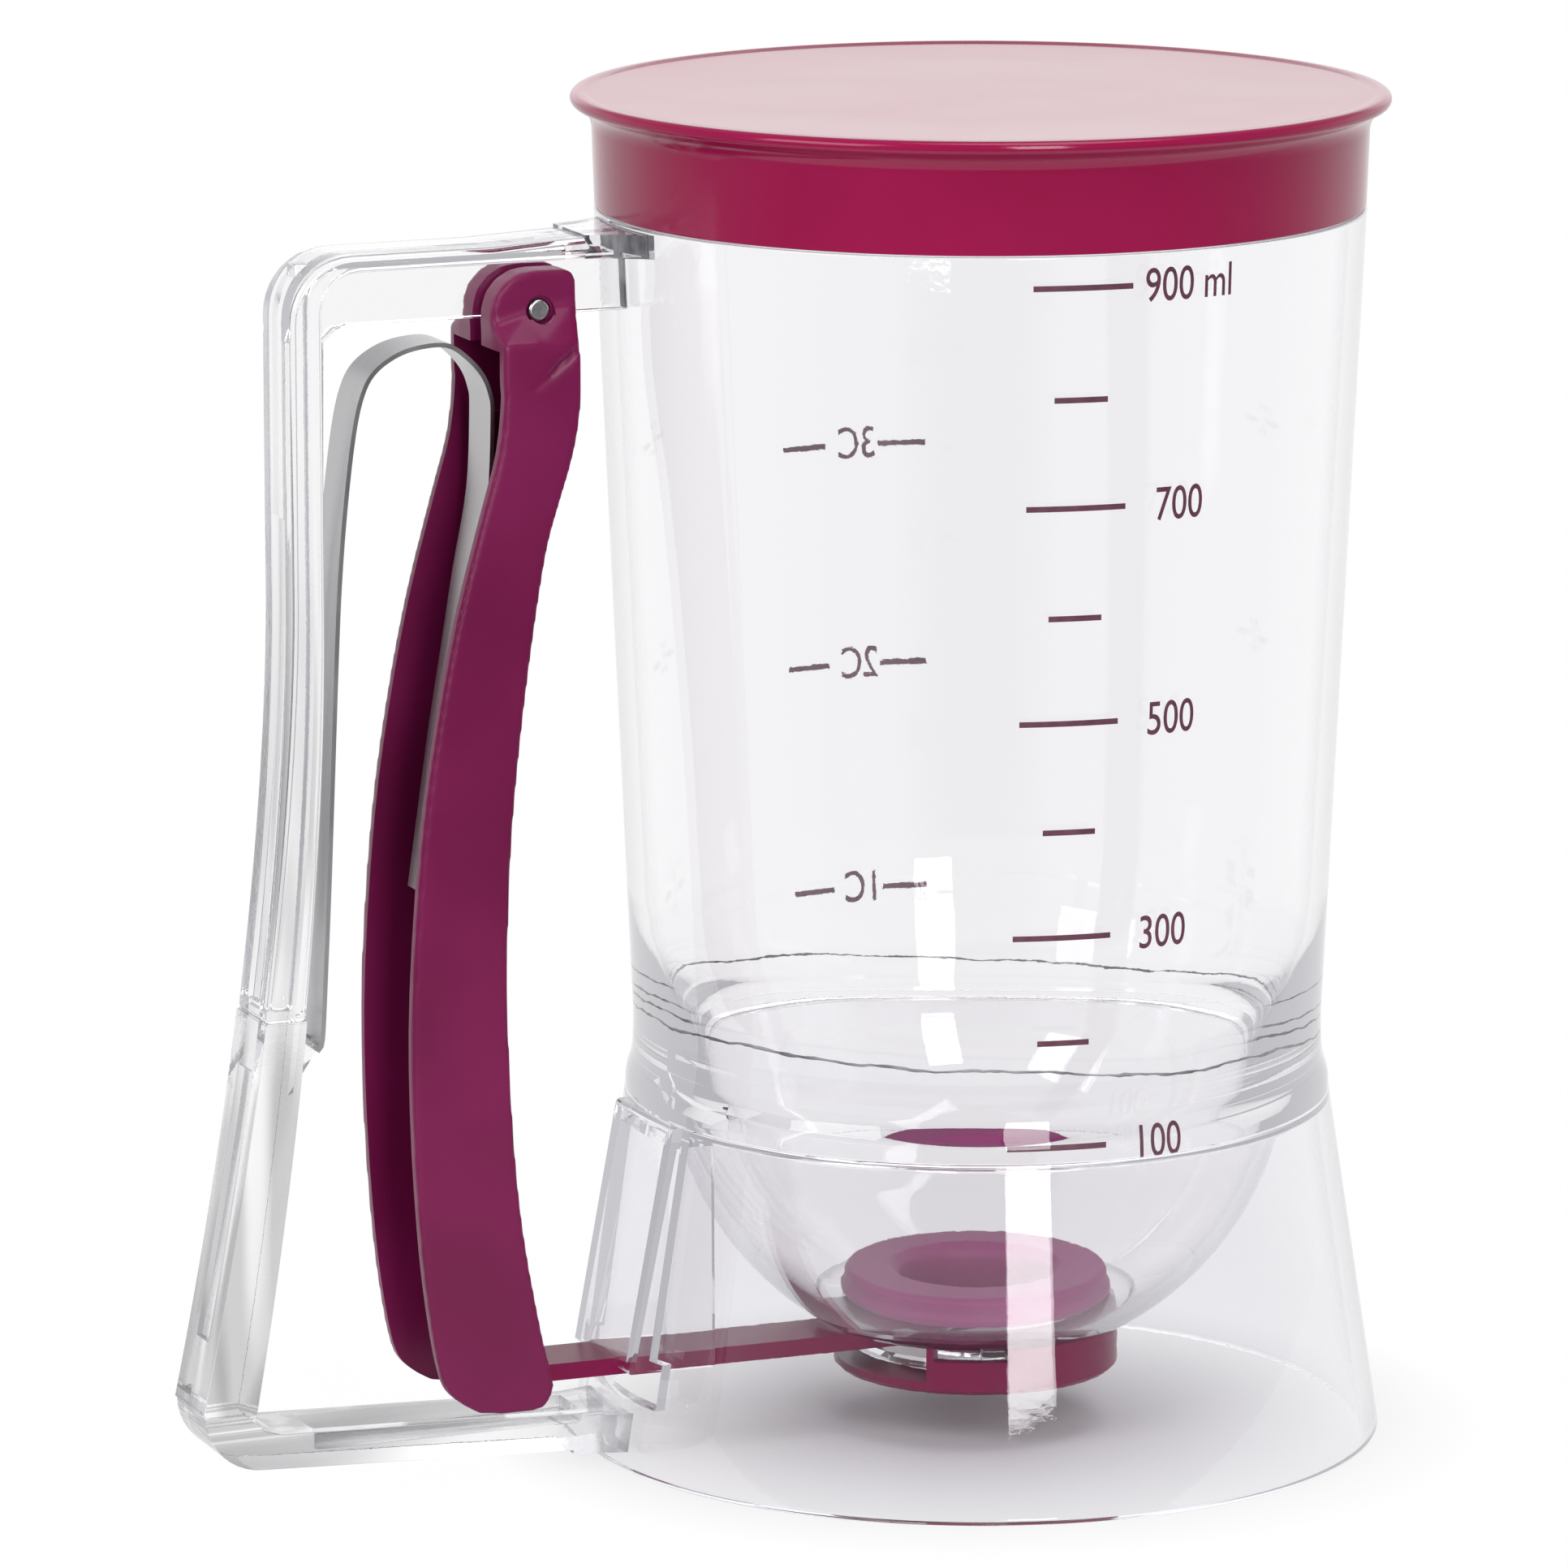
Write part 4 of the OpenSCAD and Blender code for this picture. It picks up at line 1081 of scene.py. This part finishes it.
def long_edge(e):
    """True for the long edges where the lever's sides meet its front and its open rim."""
    middle = (e.verts[0].co + e.verts[1].co) / 2
    return (abs(middle.y) > (lever_half - 0.1) * mm and middle.z < 0.150 and any(
        (Vector((x, z)) - Vector((middle.x, middle.z)) / mm).length < 2.5
        for x, z in front_line + rim_line))


cheek = hull([(6.4, [(-71.5, 155.4), (-66.4, 156.8), (-66.4, 150), (-71.5, 150)]),
              (10.5, [(-71.3, 153.2), (-66.4, 153.2), (-66.4, 147), (-71.3, 147)])])
shoulder = hull([(6.4, [(-66.6, 157.0), (-60.0, 157.8), (-60.2, 150.0), (-66.6, 150.0)]),
                 (10.5, [(-66.6, 152.9), (-60.85, 152.2), (-60.85, 147.0), (-66.6, 147.0)])])
bm = slab(body_line, 2 * lever_half)
round_edges(bm, 2.6, segments=6, angle=50, only=long_edge)
bm = combine(bm, [cheek, shoulder, slab(ear_line, 12.8)], "UNION")
creases = []
for side in (-1, 1):
    line = hull([(0.9, [(-59.5, 154.6), (-59.4, 152.9), (-67.3, 146.9), (-67.7, 147.2)])])
    shift(line, 0, side * 10.7, 0)
    creases.append(line)
bm = melt(combine(bm, creases, "DIFFERENCE"), 0.40, 8)
hollow_line = ([(x - 2, z) for x, z in front_line if 17 < z < 150.4][::-1]
               + [(-62.7, 151.4), (-105, 151.4), (-105, 5), (-67.5, 5), (-67.5, 16.2)])
hollow = slab(hollow_line, 2 * (lever_half - lever_wall))
round_edges(hollow, 1.0, segments=4, angle=33,
            only=lambda e: all(v.co.x > -0.090 and v.co.z > 0.017 for v in e.verts))
bm = combine(bm, [hollow, block((-90, -8.7, 140), (-66.6, 8.7, 152.2))], "DIFFERENCE")
print("lever body faces", len(bm.faces))

# %% [markdown]
# The spring rests on a rib inside, and two catches at the foot hold the slide's cross head.
# The slot for the handle's web, the pin's hole and the foot's opening are cut last.

# %% Rib, catches and cuts
rib = slab([(x + 0.45, z) for x, z in smooth_line(
    [(-70.4, 143.1), (-70.9, 132.5), (-72.9, 121.7), (-74.7, 111.0), (-76.5, 100.3),
     (-78.1, 89.4), (-79.5, 79.7)], 3)] + [(-72.0, 79.7), (-70.1, 100), (-66.9, 121),
                                           (-62.9, 143.1)], 2)
head_x, head_half = -68.15, 8.1
catches = [block((head_x - 5.4, s * 8.0 - 1.2, 10.8), (head_x - 3.4, s * 8.0 + 1.2, 19.8))
           for s in (-1, 1)]
bm = combine(bm, [rib] + catches, "UNION")
sinks = []
for side in (-1, 1):
    sink = pin_rod(2.0, 1.4)
    shift(sink, 0, side * 6.7, 0)
    sinks.append(sink)
bm = combine(bm, [block((-85, -2.1, 151.4), (-45, 2.1, 171)),
                  pin_rod(1.62, 30),
                  block((-75, -5.25, 8.4), (-55, 5.25, 16.4))] + sinks, "DIFFERENCE")
finish_piece(bm, "lever_arm", "lever", lever_plastic, 35, ["lever"])

# %% [markdown]
# The pin is a short steel bar through both ears, cropped and slightly rounded at its ends.

# %% Pin
bm = pin_rod(1.5, 12.9)
round_edges(bm, 0.4, segments=4, angle=50)
finish_piece(bm, "pivot_bar", "lever", pin_steel, 50, ["pivot_pin"])

# %% [markdown]
# The spring is one strip bent like a hairpin. Its left leg lies on the grip and its right leg
# presses the lever, so the real one bends when the lever is pulled. Here it keeps one shape.

# %% Spring
leg_foot, leg_top = grip_seam - 3, pivot_z - 15.4
strip_wide, strip_thick = 8.0, 0.6


def leg(s):
    """A point on the leg that lies on the grip, for a share s of its length."""
    z = leg_foot + (leg_top - leg_foot) * s
    return (grip_in(z) + rib_h + 0.4 + 1.1 * (max(0, 0.45 - s) / 0.45) ** 1.5
            + 2.7 * (max(0, s - 0.5) / 0.5) ** 2.2, z)


left = [leg(i / 8) for i in range(9)]
span = pivot_x - 5.4 - left[-1][0]
bend = [(left[-1][0] + span * a, pivot_z - b) for a, b in (
    (0.067, 9.9), (0.159, 6.9), (0.323, 4.8), (0.508, 3.9), (0.682, 4.0), (0.815, 5.7),
    (0.928, 8.2), (0.985, 10.9))]
right = [(-70.4, 143.07), (-70.9, 132.48), (-72.9, 121.74), (-74.7, 111.0), (-76.5, 100.27),
         (-78.1, 89.39), (-79.5, 79.65)]
curve = smooth_line([(left[0][0] - 0.7, left[0][1] - 0.5)] + left + bend + right, 5)
bm = bmesh.new()
row = [bm.verts.new((x * mm, -strip_wide / 2 * mm, z * mm)) for x, z in curve]
edges = [bm.edges.new((a, b)) for a, b in zip(row, row[1:])]
made = bmesh.ops.extrude_edge_only(bm, edges=edges)
bmesh.ops.translate(bm, vec=(0, strip_wide * mm, 0),
                    verts=[v for v in made["geom"] if isinstance(v, bmesh.types.BMVert)])
face_out(bm)
bmesh.ops.solidify(bm, geom=list(bm.faces), thickness=strip_thick * mm)
face_out(bm)
soften(bm, 40)
spring = as_object(bm, "hairpin_spring")
spring.data.materials.append(spring_steel)
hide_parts("leaf_spring")
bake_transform(spring)
print("spring points", len(curve))

# %% [markdown]
# The slide is one moulding: a round gate that closes the outlet, a flat rod, and a cross head
# that hooks into the lever's foot.

# %% Valve slide
gate_r, gate_thick, gate_low, gate_top, rod_half = 12.5, 2.3, 12.6, 14.9, 4.75
bm = bmesh.new()
bmesh.ops.create_cone(bm, cap_ends=True, segments=96, radius1=gate_r * mm,
                      radius2=gate_r * mm, depth=gate_thick * mm)
shift(bm, 0, 0, (gate_low + gate_top) / 2)
bm = combine(bm, [block((head_x - 1.5, -rod_half, gate_low), (-6, rod_half, gate_top)),
                  block((head_x - 3, -head_half, gate_low), (head_x, head_half, gate_top))],
             "UNION")
round_edges(bm, 0.3, segments=2, angle=50)
finish_piece(bm, "gate_and_rod", "slide", valve_plastic, 40,
             ["valve_slide"])

# %% [markdown]
# The seal is a soft stepped ring that sits in the outlet plate, with a chamfered hole.

# %% Seal
seal_section = [(10.0, 15.1), (12.2, 15.1), (12.2, 18.0), (18.6, 18.0), (18.6, 18.9),
                (18.1, 19.5), (18.0, 20.9), (17.4, 21.5), (11.8, 21.5), (10.5, 20.4),
                (10.0, 19.2)]
bm = turn(seal_section, steps=128)
round_edges(bm, 0.22, segments=2, angle=25)
finish_piece(bm, "outlet_seal", "body", silicone, 35, ["seal"])

# %% [markdown]
# The ring's wall is cut away on the handle's side for the slide, and has two windows that
# take the collar's lugs.

# %% Outlet ring
ring_section = [(13.3, 8.2), (18.7, 8.2), (19.3, 8.8), (19.3, 14.4), (18.9, 14.8), (17.3, 14.8),
                (17.3, 9.8), (13.3, 9.8)]


def sector(start, end, low, high):
    """A cutter for a part of the ring's wall, between two angles and two heights."""
    return turn([(15.0, low), (23.0, low), (23.0, high), (15.0, high)],
                steps=max(8, int((end - start) / 3)), angle=end - start, start=start)


bm = turn(ring_section, steps=128)
cuts = [sector(115, 227, 9.8, 16)]
for turned in (0, 180):
    cuts.append(sector(-130 + turned, -100 + turned, 12.7, 14.6))
    cuts.append(sector(-130 + turned, -118 + turned, 12.7, 16))
bm = combine(bm, cuts, "DIFFERENCE")
finish_piece(bm, "bayonet_ring", "ring", valve_plastic, 35,
             ["outlet_ring"])

# %% [markdown]
# The box of the solids and the box of this model are written down together, for a comparison.

# %% Hand over
scene.view_settings.view_transform = "Standard"
visual_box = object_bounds()
for what, box in (("solids", cad_box), ("model", visual_box)):
    print(what, [tuple(round(length, 4) for length in corner) for corner in box])
